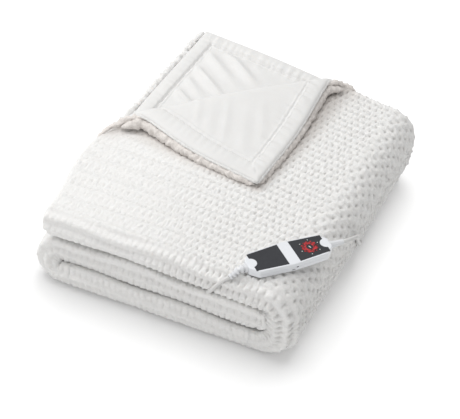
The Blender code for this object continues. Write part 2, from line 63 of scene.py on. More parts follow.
import bmesh
import bpy
import numpy as np
from mathutils import Euler, Vector
from mathutils.geometry import interpolate_bezier

scene = bpy.context.scene

# %% [markdown]
# ## The camera
# The picture was taken from the front and a little to the right, from a good height and with a long
# lens, so that parallel edges stay nearly parallel.  A camera is placed by an azimuth, an elevation
# and a distance from the point that it looks at.

# %% Camera
AZIMUTH, ELEVATION, DISTANCE = radians(26), radians(41.5), 2.444
LOOKS_AT = Vector((0.0131, -0.0724, 0.0624))
SENSOR, FOCAL_PIXELS, IMAGE_WIDE = 36.0, 1500, 460

toward_camera = Vector(
    (sin(AZIMUTH) * cos(ELEVATION), -cos(AZIMUTH) * cos(ELEVATION), sin(ELEVATION))
)
camera_data = bpy.data.cameras.new("camera")
camera_data.sensor_width = SENSOR
camera_data.lens = SENSOR * FOCAL_PIXELS / IMAGE_WIDE
camera = bpy.data.objects.new("camera", camera_data)
camera.location = LOOKS_AT + DISTANCE * toward_camera
camera.rotation_euler = toward_camera.to_track_quat("Z", "Y").to_euler()
scene.collection.objects.link(camera)
scene.camera = camera
print("the lens is", round(camera_data.lens, 1), "mm long")

# %% [markdown]
# ## How the cloth is folded
# A blanket could be draped by simulation, but a fold made by hand is a rule: roll round a bend, run
# straight, roll back.  So the cloth is drawn flat, in p across it, q along it and w through it, and
# each point is taken through the turned corner, then the folds along the length, then those across
# the width, and last the lean and sag of the whole.  This rule places the plush, the lining and the
# seams, and the leads are led round it by its last two steps, so they all fit each other.

# %% Sizes of the cloth
CUT_LENGTH = 2.000
PLUSH_THICK, SMOOTH_THICK, PANEL_GAP, LAYER_AIR = 0.0078, 0.0030, 0.0004, 0.0008
LAYER = PLUSH_THICK + SMOOTH_THICK + PANEL_GAP
PITCH = LAYER + LAYER_AIR
SMOOTH_LOW = -LAYER / 2  # the lining, then the plush, outward through a layer
SMOOTH_HIGH = SMOOTH_LOW + SMOOTH_THICK
PLUSH_LOW = SMOOTH_HIGH + PANEL_GAP
BAND = 4 * PITCH  # the cloth folded in four
PILE = 3 * BAND  # and then in three

# %% Sizes of the folds
WIDTH, OVERHANG_LEFT, SHOULDER_HIGH, SHOULDER_LOW = 0.453, 0.026, 0.028, 0.040
FREE_PROUD, SECOND_PROUD = 0.020, 0.028  # how far the two ends stand out at the back
MID_SHORT, MID_RECESS, LOW_PROUD = 0.004, 0.005, 0.004  # where the middle and low bands end
END_SHORT, END_BULGE, END_SPAN, END_RISE = 0.012, 0.0065, 0.070, 0.020  # the middle band's end
SQUARE = 4.0  # how square the lower front folds are: 2 is round
LIFT, LIFT_DEEP = 0.005, 0.30  # how much the middle band rises at the front, and how deep
CORNER_LEFT, CORNER_BACK = 0.312, 0.304  # where the corner's fold meets the two edges
CORNER_ROLL, CORNER_DROP, CORNER_PULL = 0.0145, radians(7), 0.034
TUCK_LEFT, TUCK_BACK, TUCK_FADE = 0.030, 0.023, 0.130
TURN_START, REST_ABOVE, SETTLE = 0.012, LAYER + 0.0016, 0.010

# %% Sizes of the lean, the sag and the switch's seat
SKEW_MEAN, SKEW = 0.016, 0.038
BACK_ROUND, BACK_FROM, BACK_SPAN = 0.004, 0.3, 0.5
LEFT_BOW, BOW_END, BOW_FROM, BOW_SPAN = 0.020, 0.56, 1.8 * BAND, 0.6 * BAND
LEAN_FRONT, LEAN_RIGHT, LEAN_END, LEAN_LEVEL = 0.010, 0.018, 0.60, 0.25
SQUEEZE_LEFT, SQUEEZE_RIGHT, SHOULDER_FILL = 0.12, 0.26, 0.40
WAVE, WAVES = 0.0025, ((0.053, 0.40, 1.0), (-0.030, 0.52, 0.8))  # each one's shift, length, share
CENTRE_X, CENTRE_Y = 0.0034, 0.0304
SWITCH_AT = Vector((0.1796, -0.2153, 0.1471))
SWITCH_TURN, SWITCH_TILT, SHELL, FIT = radians(49.8), radians(2.4), 0.0075, 0.0003
SEAT_LONG, SEAT_WIDE, SEAT_FADE = 0.104, 0.060, 0.032
print("a layer is", round(LAYER * 1000, 1), "mm thick, and the pile", round(PILE * 1000), "mm")


# %% A path of straights and arcs
def travel(angle, bend, run):
    """How far a run gets that starts at this angle and bends this much a metre."""
    chord, way = run * np.sinc(bend * run / (2 * pi)), angle + bend * run / 2
    return chord * np.cos(way), chord * np.sin(way)


class Path:
    """A line of straights and arcs in a plane, read by its length."""

    def __init__(self, start, heading, rows):
        (x, y), angle, run, found = start, heading, 0.0, []
        for size, turn in rows:  # an arc's size is its radius
            length = size * abs(turn) if turn else size
            bend = turn / length
            found.append((run, x, y, angle, bend))
            dx, dy = travel(angle, bend, length)
            x, y, angle, run = x + dx, y + dy, angle + turn, run + length
        self.rows, self.length = np.array(found).T, run

    def point(self, s, off):
        """The points that lie off to the left of the path, at lengths s along it."""
        k = np.clip(np.searchsorted(self.rows[0], s, "right") - 1, 0, None)
        run, x, y, angle, bend = self.rows[:, k]
        dx, dy = travel(angle, bend, s - run)
        now = angle + bend * (s - run)
        return x + dx - off * np.sin(now), y + dy + off * np.cos(now)


BENDS = pi * PITCH * 2.5
STRAIGHT = (CUT_LENGTH - BENDS - FREE_PROUD - SECOND_PROUD) / 4
ALONG = Path(
    (STRAIGHT / 2 + FREE_PROUD, 1.5 * PITCH),
    pi,
    (
        (FREE_PROUD, 0),
        (STRAIGHT, 0),
        (1.5 * PITCH, pi),
        (STRAIGHT, 0),
        (0.5 * PITCH, pi),
        (STRAIGHT, 0),
        (0.5 * PITCH, -pi),
        (STRAIGHT, 0),
        (SECOND_PROUD, 0),
    ),
)
DEPTH = STRAIGHT
SIDE, LEFT = WIDTH / 2 - 2 * PITCH, -WIDTH / 2 + 4 * PITCH
ACROSS = Path(
    (LEFT - OVERHANG_LEFT, 2.5 * BAND),
    0.0,
    (
        (SIDE - SHOULDER_HIGH - LEFT + OVERHANG_LEFT, 0),
        (SHOULDER_HIGH, -pi / 2),
        (2 * BAND - SHOULDER_HIGH - SHOULDER_LOW, 0),
        (SHOULDER_LOW, -pi / 2),
        (SIDE - SHOULDER_LOW - LEFT, 0),
        (BAND / 2, -pi),
        (SIDE - SHOULDER_HIGH - MID_SHORT - LEFT, 0),
    ),
)
CUT_WIDTH = ACROSS.length
SHOULDER_X = ACROSS.rows[1][1]
P_STARTS, Q_STARTS = ACROSS.rows[0], ALONG.rows[0]
print("the cloth was cut to", round(CUT_WIDTH, 3), "by", CUT_LENGTH, "m")


# %% The corner that is turned back
def smooth(t):
    t = np.clip(t, 0.0, 1.0)
    return t * t * (3 - 2 * t)


FOLD_LINE = 1 / sqrt(1 / CORNER_BACK**2 + 1 / CORNER_LEFT**2)
CORNER_STEP = 0.0005


def corner_curve():
    """The turned-back corner seen along its fold: how far forward, how high, and its slope."""
    u = w = 0.0
    rows = [(u, w, 0.0)]
    for k in range(int((FOLD_LINE + 2 * TURN_START) / CORNER_STEP)):
        run = k * CORNER_STEP
        angle = run / CORNER_ROLL
        if run > CORNER_ROLL * (pi + CORNER_DROP):
            near = smooth((REST_ABOVE + SETTLE - w) / SETTLE)
            angle = pi + CORNER_DROP * (1 - near)
        u += CORNER_STEP * cos(angle)
        w += CORNER_STEP * sin(angle)
        if run > CORNER_ROLL * (pi + CORNER_DROP):
            w = max(w, REST_ABOVE)
        rows.append((u, w, angle))
    return np.array(rows).T


CORNER = corner_curve()
CORNER_RUN = CORNER_STEP * np.arange(CORNER.shape[1])


def tuck(p, q, past):
    """How far the cloth is tucked in along the corner's fold, most at the two ends of the fold."""
    fold_square = CORNER_BACK**2 + CORNER_LEFT**2
    leftward = ((CORNER_BACK - p) * CORNER_BACK + q * CORNER_LEFT) / fold_square
    turned = CORNER_ROLL * pi
    near_fold = smooth(past / turned) * (1 - smooth((past - turned) / TUCK_FADE))
    return (TUCK_LEFT * leftward**2 - TUCK_BACK * (1 - leftward) ** 2) * near_fold


def turn_corner(p, q, w):
    """Turns the corner at p = q = 0 back over the cloth, about the line between its two marks."""
    past = FOLD_LINE * (1 - p / CORNER_BACK - q / CORNER_LEFT) + TURN_START
    turned = past > 0
    u, up, slope = (np.interp(past, CORNER_RUN, row) for row in CORNER)
    shift = u - w * np.sin(slope) - past
    pull = CORNER_PULL * np.maximum(0.0, past - CORNER_ROLL * pi) / FOLD_LINE - tuck(p, q, past)
    dp = shift * FOLD_LINE / CORNER_BACK + pull * FOLD_LINE / CORNER_LEFT
    dq = shift * FOLD_LINE / CORNER_LEFT - pull * FOLD_LINE / CORNER_BACK
    high = up + w * np.cos(slope)
    return np.where(turned, p - dp, p), np.where(turned, q - dq, q), np.where(turned, high, w)


# %% How the pile leans, sags and carries the switch
def end_slope(p, n):
    """How much sooner the lower layers of the middle band end, and how its middle bulges out."""
    near_end = smooth((p - CUT_WIDTH + END_SPAN) / END_SPAN)
    bulge = END_BULGE * np.clip(1 - (2 * n / BAND) ** 2, 0, 1)
    return near_end * (END_SHORT * (1 - smooth((n + BAND / 2) / END_RISE)) - bulge)


def square_front(p, y, n):
    """Makes the front folds of the lower bands squarer, where they press on each other."""
    past = np.maximum(-DEPTH / 2 - y, 0.0)
    under = n < 0
    first = np.where(under, P_STARTS[3], P_STARTS[5])
    last = np.where(under, P_STARTS[4], P_STARTS[6])
    squared = (past**SQUARE + np.abs(n) ** SQUARE) ** (1 / SQUARE)
    full = np.hypot(past, n) / np.maximum(squared, 1e-9)
    grow = np.where(past > 0, 1 + (full - 1) * smooth((p - first) / (last - first)), 1.0)
    return np.where(past > 0, -DEPTH / 2 - past * grow, y), n * grow


def recess(p):
    """How far back the cloth lies at p, from the front of the top band."""
    top_end, low_start, low_end, mid_start = (P_STARTS[k] for k in (1, 4, 5, 6))
    out = smooth((p - top_end) / (low_start - top_end)) * LOW_PROUD
    return smooth((p - low_end) / (mid_start - low_end)) * (MID_RECESS + LOW_PROUD) - out


def round_drop(past, radius):
    """How far a round edge has dropped at a distance past its start."""
    past = np.clip(past, 0.0, 0.9 * radius)
    return radius - np.sqrt(radius**2 - past**2)


def settle(x, y, z):
    """The skew, lean and sag of the whole pile, and the seat that the switch has in its top."""
    share = (y + DEPTH / 2) / DEPTH
    side = 2 * x / WIDTH
    rightward = smooth((side + 1) / 2)
    over_right = round_drop(x - SHOULDER_X, SHOULDER_HIGH + 2 * PITCH)
    top = PILE - LAYER_AIR / 2 - over_right - round_drop(-DEPTH / 2 - y, 2 * PITCH)
    y = y + share * (SKEW_MEAN - SKEW * side - BACK_ROUND * smooth((side - BACK_FROM) / BACK_SPAN))
    y = y - LEAN_FRONT * z / PILE * rightward * (1 - share) - CENTRE_Y
    bow = np.sin(pi * np.clip(share / BOW_END, 0.0, 1.0)) ** 2
    x = x - LEFT_BOW * smooth((z - BOW_FROM) / BOW_SPAN) * smooth(-side) * bow - CENTRE_X
    x = x + LEAN_RIGHT * (z / PILE - LEAN_LEVEL) * smooth(side) * smooth(share / LEAN_END)
    squeeze = SQUEEZE_LEFT + (SQUEEZE_RIGHT - SQUEEZE_LEFT) * rightward
    waves = [
        part * np.cos(2 * pi * (at + shift) / long)
        for at, (shift, long, part) in zip((x, y), WAVES)
    ]
    lift = LIFT * smooth((side + 1) / 1.2) * (1 - smooth(share / LIFT_DEEP))
    lift = lift * (1 - smooth((x - SHOULDER_X) / SHOULDER_HIGH))

    def sag(z):
        height = 1 - squeeze * np.maximum(0.0, 1 - z / PILE) + WAVE / PILE * (waves[0] + waves[1])
        middle = smooth(z / (2 * BAND)) * (1 - smooth(z / BAND - 2))
        return z * height + SHOULDER_FILL * over_right * (z / PILE) ** 2 + lift * middle

    along = (x - SWITCH_AT.x) * cos(SWITCH_TURN) + (y - SWITCH_AT.y) * sin(SWITCH_TURN)
    across = (y - SWITCH_AT.y) * cos(SWITCH_TURN) - (x - SWITCH_AT.x) * sin(SWITCH_TURN)
    seat = smooth((SEAT_LONG - np.abs(along)) / SEAT_FADE)
    seat = seat * smooth((SEAT_WIDE - np.abs(across)) / SEAT_FADE)
    base = SWITCH_AT.z - SHELL - FIT - along * tan(SWITCH_TILT)
    press = seat * np.minimum(base - sag(top), 0.0) * (z / top) ** 2
    return np.stack((x, y, sag(z) + press), axis=-1)


def folded(p, q, w):
    """Where points of the flat cloth lie once it is folded, as rows of x, y and z."""
    p, q, w = turn_corner(p, q, w)
    y, n = square_front(p, *ALONG.point(q, -w))
    x, z = ACROSS.point(p - end_slope(p, n), n)
    return settle(x, y + recess(p), z - LAYER_AIR / 2)


# %% [markdown]
# ## The leads
# A lead is a fixed length of something flexible.  The short one leaves the blanket under its front
# fold and climbs over it to the switch.  The long one leaves the switch, goes down over the side,
# along the floor and into a coil behind the blanket, and its plug lies beside the coil.  Each is
# one curve with a round bevel, through points that lie just off the cloth or on the floor.

# %% Routes
LEAD = 0.006
OFF_CLOTH, ON_FLOOR = LEAD / 2 + 0.0016, LEAD / 2 + 0.0002
HALF_LONG = 0.0685 + FIT
RELIEF_BLANKET, RELIEF_MAINS, RELIEF_PLUG, LEAD_GAP = 0.030, 0.023, 0.026, 0.0005
COIL_AT, COIL_RADIUS, COIL_WIDE = Vector((0.105, 0.2830, 0.0)), 0.031, 0.0180
PLUG_AT = Vector((0.0350, 0.3110, 0.0073))


def by_fold(along, y, off=OFF_CLOTH):
    """A point just off the outside of the big right fold, at a length along its path."""
    x, z = ACROSS.point(P_STARTS[1] + along, 2 * PITCH + off)
    return Vector(settle(x, y, z))


def by_front(x, angle, off=OFF_CLOTH):
    """A point just off the top band's front fold, at an angle up from straight in front."""
    radius = 2 * PITCH + off
    return Vector(settle(x, -DEPTH / 2 - radius * cos(angle), 2.5 * BAND + radius * sin(angle)))


def along_route(route, fine=12):
    """A smooth line through a route's points, as many close points."""
    ends = [2 * route[0] - route[1], *route, 2 * route[-1] - route[-2]]
    line = [route[0].copy()]
    for a, b, c, d in zip(ends, ends[1:], ends[2:], ends[3:]):
        reach = (c - b).length / 3
        first, second = b + (c - a).normalized() * reach, c - (d - b).normalized() * reach
        line += interpolate_bezier(b, first, second, c, fine + 1)[1:]
    return line


turn_to_switch = Euler((0, SWITCH_TILT, SWITCH_TURN)).to_matrix()
pointing = turn_to_switch @ Vector((1, 0, 0))
left_end, right_end = SWITCH_AT - pointing * HALF_LONG, SWITCH_AT + pointing * HALF_LONG
STRAIGHT_OUT = 0.012
FRONT_PLACES = (
    (0.1240, 66), (0.1120, 40), (0.1005, 10), (0.0915, -20), (0.0862, -36), (0.0842, -46)
)  # each one's x, and its angle up round the front fold in degrees
blanket_route = [left_end, left_end - pointing * STRAIGHT_OUT]
blanket_route += [by_front(x, radians(angle)) for x, angle in FRONT_PLACES]

PAST_RELIEF, TOWARD_SIDE = 0.030, Vector((0.0275, 0.0460, -0.0090))
SIDE_PLACES = (
    (0.045, -0.0236), (0.055, -0.0170), (0.067, -0.0080), (0.079, 0.0060), (0.090, 0.030),
    (0.100, 0.060),
)  # each one's length along the right fold, and its y
FOOT = Vector((0.2015, 0.076, 0.0062))  # where it comes down to the floor
FLOOR_PLACES = ((0.1975, 0.104), (0.1955, 0.130), (0.1955, 0.158), (0.1940, 0.187), (0.1860, 0.214))
mains_route = [right_end + pointing * step for step in (0, STRAIGHT_OUT, RELIEF_MAINS, PAST_RELIEF)]
mains_route.append(right_end + TOWARD_SIDE)
mains_route += [by_fold(along, y) for along, y in SIDE_PLACES]
mains_route.append(FOOT)
mains_route += [Vector((x, y, ON_FLOOR)) for x, y in FLOOR_PLACES]
beside_coil = COIL_RADIUS + COIL_WIDE / 2 + FIT + LEAD / 2
for along, across in ((-0.046, 0.0107), (-0.024, 0.0014)):
    mains_route.append(COIL_AT + Vector((beside_coil + across, along, ON_FLOOR)))

# %% The coil
# Three turns lie on the floor, outside in, two go back out over them, and two more lie on top.  The
# lead comes in beside the coil, and after the last turn it steps out and down to the floor again.
TURN_POINTS, LEVEL = 20, 0.0056
TURNS = (
    (0.0370, 0), (0.0310, 0), (0.0252, 0),
    (0.0280, 1), (0.0340, 1),
    (0.0310, 2), (0.0370, 2),
)  # radius and level of each turn
LEAVES_AT = 1.25  # how far the lead goes on from the start of its last turn, in turns


def coil_points():
    """The lead's turns, each a circle that eases into the next over its last part."""
    points = []
    for step in range(round((len(TURNS) - 1 + LEAVES_AT) * TURN_POINTS) + 1):
        k = min(step // TURN_POINTS, len(TURNS) - 1)
        share = step / TURN_POINTS - k
        (radius, level), (after, above) = TURNS[k], TURNS[min(k + 1, len(TURNS) - 1)]
        ease = smooth((share - 0.55) / 0.45)
        r, z = radius + (after - radius) * ease, level + (above - level) * ease
        if k == 0:
            r += (beside_coil - r) * (1 - smooth(share / 0.5))
        if k == len(TURNS) - 1:
            r += (beside_coil - r) * smooth((share - 0.60) / 0.45)
            z *= 1 - smooth((share - 0.85) / 0.40)
        angle = 2 * pi * step / TURN_POINTS
        points.append(COIL_AT + Vector((r * cos(angle), r * sin(angle), ON_FLOOR + LEVEL * z)))
    return points


coil_route = coil_points()
plug_end = PLUG_AT + Vector((FIT, 0, 0))
TO_PLUG = ((0.055, 0.0131, -0.0036), (0.042, 0.0050, -0.0018))
plug_route = [PLUG_AT + Vector(step) for step in TO_PLUG]
plug_route += [plug_end + Vector((step, 0, 0)) for step in (0.031, 0.026, 0.013, 0)]


# %% Leads as curves
def tube(name, points, radius, sides=6):
    """One open spline with a round bevel and closed ends."""
    curve = bpy.data.curves.new(name, "CURVE")
    curve.dimensions = "3D"
    curve.bevel_depth = radius
    curve.bevel_resolution = sides
    curve.use_fill_caps = True
    spline = curve.splines.new("POLY")
    spline.points.add(len(points) - 1)
    for point, place in zip(spline.points, points):
        point.co = (*place, 1)
    thing = bpy.data.objects.new(name, curve)
    scene.collection.objects.link(thing)
    return thing


def line_length(line):
    return sum((b - a).length for a, b in zip(line, line[1:]))


def from_length(line, start):
    """A line without its first part."""
    run = 0.0
    for k in range(1, len(line)):
        step = (line[k] - line[k - 1]).length
        if run + step > start:
            return [line[k - 1].lerp(line[k], (start - run) / step), *line[k:]]
        run += step


blanket_line = from_length(along_route(blanket_route), RELIEF_BLANKET + LEAD_GAP)
mains_line = along_route(mains_route + coil_route + plug_route, 6)
mains_line = from_length(mains_line, RELIEF_MAINS + LEAD_GAP)
mains_line = from_length(mains_line[::-1], RELIEF_PLUG + LEAD_GAP)[::-1]
blanket_lead = tube("blanket_lead", blanket_line, LEAD / 2)
mains_lead = tube("mains_lead", mains_line, LEAD / 2)
for lead, line in ((blanket_lead, blanket_line), (mains_lead, mains_line)):
    print(lead.name, "is", round(line_length(line), 3), "m long")

# %% [markdown]
# ## Floor and light
# The even studio light of the picture comes from three large soft lamps: a key lamp from the left,
# a broad one above and a weak fill from the front.  A fourth lights the white floor.  Which lamp
# lights what is set at the end of the script, when every piece is there.

# %% Floor and lamps
FLOOR_HALF, WORLD_LIGHT = 6.0, 0.54


def white_floor():
    mesh = bpy.data.meshes.new("floor")
    corners = [(x * FLOOR_HALF, y * FLOOR_HALF, 0) for x, y in ((-1, -1), (1, -1), (1, 1), (-1, 1))]
    mesh.from_pydata(corners, [], [(0, 1, 2, 3)])
    floor = bpy.data.objects.new("floor", mesh)
    scene.collection.objects.link(floor)
    return floor


def lamp(name, place, size, watts):
    """A round white lamp that looks at the blanket."""
    data = bpy.data.lights.new(name, "AREA")
    data.shape, data.size, data.energy = "DISK", size, watts
    thing = bpy.data.objects.new(name, data)
    thing.location = place
    thing.rotation_euler = (Vector(place) - LOOKS_AT).to_track_quat("Z", "Y").to_euler()
    scene.collection.objects.link(thing)
    return thing


floor = white_floor()
key = lamp("key", (-2.0, 0.1, 1.95), 1.0, 26)
top = lamp("top", (-0.3, 0.2, 2.7), 2.4, 35)
fill = lamp("fill", (-0.6, -2.6, 1.2), 1.6, 17)
sweep = lamp("sweep", (-0.16, 0.6, 2.7), 2.8, 61)
world = bpy.data.worlds.new("studio")
world.use_nodes = True
sky = world.node_tree.nodes["Background"].inputs
sky["Color"].default_value, sky["Strength"].default_value = (1, 1, 1, 1), WORLD_LIGHT
scene.world = world
scene.view_settings.view_transform = "Standard"


# %% [markdown]
# ## Helpers for nodes
# Materials and Geometry Nodes trees are both built of nodes, so one helper adds a node, sets its
# settings and fills its inputs, with either a value or another node's output.  Two more start a
# Geometry Nodes tree and end it: the end makes all instances real and gives them their material.

# %% Node helpers
def node(tree, kind, inputs=(), **settings):
    """Adds a node; inputs is a list in order or a dict by name, of values or of sockets."""
    made = tree.nodes.new(kind)
    for name, value in settings.items():
        setattr(made, name, value)
    for key, value in inputs.items() if isinstance(inputs, dict) else enumerate(inputs):
        if isinstance(value, bpy.types.NodeSocket):
            tree.links.new(value, made.inputs[key])
        elif value is not None:
            made.inputs[key].default_value = value
    return made


def calc(tree, operation, *values):
    """The result of one sum."""
    return node(tree, "ShaderNodeMath", values, operation=operation).outputs[0]


def vector(tree, operation, *values, scale=None):
    """The result of one sum with vectors."""
    inputs = dict(enumerate(values)) | ({} if scale is None else {"Scale": scale})
    return node(tree, "ShaderNodeVectorMath", inputs, operation=operation).outputs[0]


def material(name, **settings):
    """A Principled material: itself, its tree and its shader, with some inputs set by name."""
    made = bpy.data.materials.new(name)
    made.use_nodes = True
    shader = made.node_tree.nodes["Principled BSDF"]
    for key, value in settings.items():
        shader.inputs[key.replace("_", " ").title()].default_value = value
    return made, made.node_tree, shader


def mixed(tree, factor, first, second):
    """A colour between two others, each a triple or another node's output."""
    made = node(tree, "ShaderNodeMix", {"Factor": factor}, data_type="RGBA")
    for socket, colour in zip((made.inputs[6], made.inputs[7]), (first, second)):
        if isinstance(colour, bpy.types.NodeSocket):
            tree.links.new(colour, socket)
        else:
            socket.default_value = (*colour, 1)
    return made.outputs[2]


def noise(tree, scale, detail=2.0, roughness=0.5, where=None):
    """Noise in the object's own coordinates, or at the places that are given."""
    where = where or node(tree, "ShaderNodeTexCoord").outputs["Object"]
    inputs = {"Vector": where, "Scale": scale, "Detail": detail, "Roughness": roughness}
    return node(tree, "ShaderNodeTexNoise", inputs).outputs["Fac"]


def bumped(tree, shader, height, distance, strength=0.6):
    inputs = {"Strength": strength, "Distance": distance, "Height": height}
    tree.links.new(node(tree, "ShaderNodeBump", inputs).outputs[0], shader.inputs["Normal"])


def coloured(tree, shader, colour):
    tree.links.new(colour, shader.inputs["Base Color"])


# %% Helpers for Geometry Nodes
def tree_for(name, sockets):
    """A Geometry Nodes tree with named inputs: the tree and its input sockets."""
    tree = bpy.data.node_groups.new(name, "GeometryNodeTree")
    tree.interface.new_socket("Geometry", in_out="INPUT", socket_type="NodeSocketGeometry")
    for title, kind, value in sockets:
        made = tree.interface.new_socket(title, in_out="INPUT", socket_type="NodeSocket" + kind)
        made.default_value = value
    tree.interface.new_socket("Geometry", in_out="OUTPUT", socket_type="NodeSocketGeometry")
    return tree, node(tree, "NodeGroupInput").outputs


def end_tree(tree, geometry, surface):
    """Ends a tree: its instances are made real and get their material."""
    whole = node(tree, "GeometryNodeRealizeInstances", [geometry]).outputs[0]
    done = node(tree, "GeometryNodeSetMaterial", {"Geometry": whole, "Material": surface})
    tree.links.new(done.outputs[0], node(tree, "NodeGroupOutput").inputs[0])
    return tree


def moved_out(tree, geometry, way, height):
    """Moves points along a way by a height."""
    out = vector(tree, "SCALE", way, scale=height)
    return node(tree, "GeometryNodeSetPosition", {"Geometry": geometry, "Offset": out}).outputs[0]


def triangles(mesh):
    return sum(len(face.vertices) - 2 for face in mesh.polygons)


# %% Floor material
floor_paint, tree, shader = material(
    "floor_paint", roughness=0.9, emission_color=(1, 1, 1, 1), emission_strength=0.10
)
coloured(tree, shader, mixed(tree, noise(tree, 3.0), (0.93, 0.93, 0.93), (0.95, 0.95, 0.95)))
floor.data.materials.append(floor_paint)


# %% [markdown]
# ## The pile, in Geometry Nodes
# The plush is covered by a staggered lattice of small pits, 10.6 mm apart in rows 13.8 mm apart.
# That follows a rule, so Geometry Nodes press it into the folded cloth: each point knows its place
# on the flat cloth and its way out of it, and moves out by a height worked out from that place.
# The product of two cosines is 1 at every pit of a staggered lattice, and a power sharpens it.
# Noise then moves the pits a little and adds tufts and fuzz, more where the pile stands taller.

# %% The pile tree
PIT_APART, ROW_APART = 0.0106, 0.0138
PILE_INPUTS = (
    ("Pit apart", "Float", PIT_APART),
    ("Row apart", "Float", ROW_APART),
    ("Pit depth", "Float", 0.0040),
    ("Rise", "Float", 0.0010),
    ("Sharpness", "Float", 2.8),
    ("Lip", "Float", 0.0020),
    ("Lip across", "Float", 0.0030),
    ("Lip along", "Float", 0.0042),
    ("Wander", "Float", 0.0036),
    ("Tufts", "Float", 0.0042),
    ("Fuzz", "Float", 0.0036),
    ("Floor", "Float", 0.0003),
)
WANDER_GRAIN, TUFT_GRAIN, FUZZ_GRAIN = 70.0, 150.0, 380.0


def lattice(tree, given, place, across=0.0, along=0.0):
    """1 at each pit of the staggered lattice, seen from a place moved by (across, along)."""
    found = 1.0
    for at, moved, apart, rate in (
        (place[0], across, given["Pit apart"], 2 * pi),
        (place[1], along, given["Row apart"], pi),
    ):
        turn = calc(tree, "DIVIDE", calc(tree, "SUBTRACT", at, moved), apart)
        wave = calc(tree, "COSINE", calc(tree, "MULTIPLY", turn, rate))
        found = calc(tree, "MULTIPLY", wave, found)
    return calc(tree, "POWER", calc(tree, "MAXIMUM", found, 0.0), given["Sharpness"])


def pile_height(tree, given, cloth, loft):
    """How far a point of the pile moves out, and how deep in a pit it is."""
    inputs = {"Vector": cloth, "Scale": WANDER_GRAIN, "Detail": 2.0}
    wander = node(tree, "ShaderNodeTexNoise", inputs)
    shift = vector(tree, "SUBTRACT", wander.outputs["Color"], (0.5, 0.5, 0.5))
    place = vector(tree, "ADD", cloth, vector(tree, "SCALE", shift, scale=given["Wander"]))
    place = node(tree, "ShaderNodeSeparateXYZ", [place]).outputs
    pit = lattice(tree, given, place)
    lip = lattice(tree, given, place, given["Lip across"], given["Lip along"])
    height = calc(tree, "SUBTRACT", given["Rise"], calc(tree, "MULTIPLY", pit, given["Pit depth"]))
    height = calc(tree, "ADD", height, calc(tree, "MULTIPLY", lip, given["Lip"]))
    height, full = calc(tree, "MULTIPLY", height, loft), calc(tree, "POWER", loft, 0.6)
    for grain, size in ((TUFT_GRAIN, "Tufts"), (FUZZ_GRAIN, "Fuzz")):
        tufts = calc(tree, "SUBTRACT", noise(tree, grain, 1.0, 0.5, cloth), 0.5)
        tufts = calc(tree, "MULTIPLY", calc(tree, "MULTIPLY", tufts, full), given[size])
        height = calc(tree, "ADD", height, tufts)
    return height, calc(tree, "MULTIPLY", pit, loft)


def pile_tree(surface):
    """Moves the points of the cloth out by the pile's height, and keeps how deep its pits are."""
    tree, given = tree_for("plush_pile", PILE_INPUTS)
    kinds = (("cloth", "FLOAT_VECTOR"), ("loft", "FLOAT"), ("outward", "FLOAT_VECTOR"))
    cloth, loft, outward = (
        node(tree, "GeometryNodeInputNamedAttribute", [name], data_type=kind).outputs[0]
        for name, kind in kinds
    )
    height, pit = pile_height(tree, given, cloth, loft)
    moved = moved_out(tree, given["Geometry"], outward, height)
    spot = node(tree, "GeometryNodeInputPosition").outputs[0]
    spot = node(tree, "ShaderNodeSeparateXYZ", [spot]).outputs
    above = calc(tree, "MAXIMUM", spot[2], given["Floor"])
    clear = node(tree, "ShaderNodeCombineXYZ", [spot[0], spot[1], above]).outputs[0]
    moved = node(tree, "GeometryNodeSetPosition", {"Geometry": moved, "Position": clear}).outputs[0]
    inputs = {"Geometry": moved, "Name": "pit", "Value": pit}
    settings = {"data_type": "FLOAT", "domain": "POINT"}
    kept = node(tree, "GeometryNodeStoreNamedAttribute", inputs, **settings)
    return end_tree(tree, kept.outputs[0], surface)


# %% Cloth as a grid
def spaced(start, *stretches):
    """Grid lines from start, through stretches given as (end, widest step)."""
    found = [start]
    for end, step in stretches:
        count = max(1, round((end - found[-1]) / step + 0.499))
        found += list(np.linspace(found[-1], end, count + 1)[1:])
    return np.array(found)


def grid_quads(high, wide, first=0):
    """The faces of a grid of points, as rows of four numbers."""
    at = first + np.arange(high * wide).reshape(high, wide)
    corners = (at[:-1, :-1], at[1:, :-1], at[1:, 1:], at[:-1, 1:])
    return np.stack([c.ravel() for c in corners], axis=1)


def grid_of(ps, qs):
    return np.meshgrid(ps, qs, indexing="ij")


def on_cloth(p, q):
    """Places on the flat cloth, as rows of p, q and 0."""
    return np.stack((p, q, np.zeros_like(p)), -1).reshape(-1, 3)


def keep_fact(mesh, name, values):
    """Keeps a value or a vector with each point of a mesh."""
    kind, word = ("FLOAT_VECTOR", "vector") if values.ndim == 2 else ("FLOAT", "value")
    data = mesh.attributes.new(name, kind, "POINT").data
    data.foreach_set(word, values.astype(np.float32).ravel())


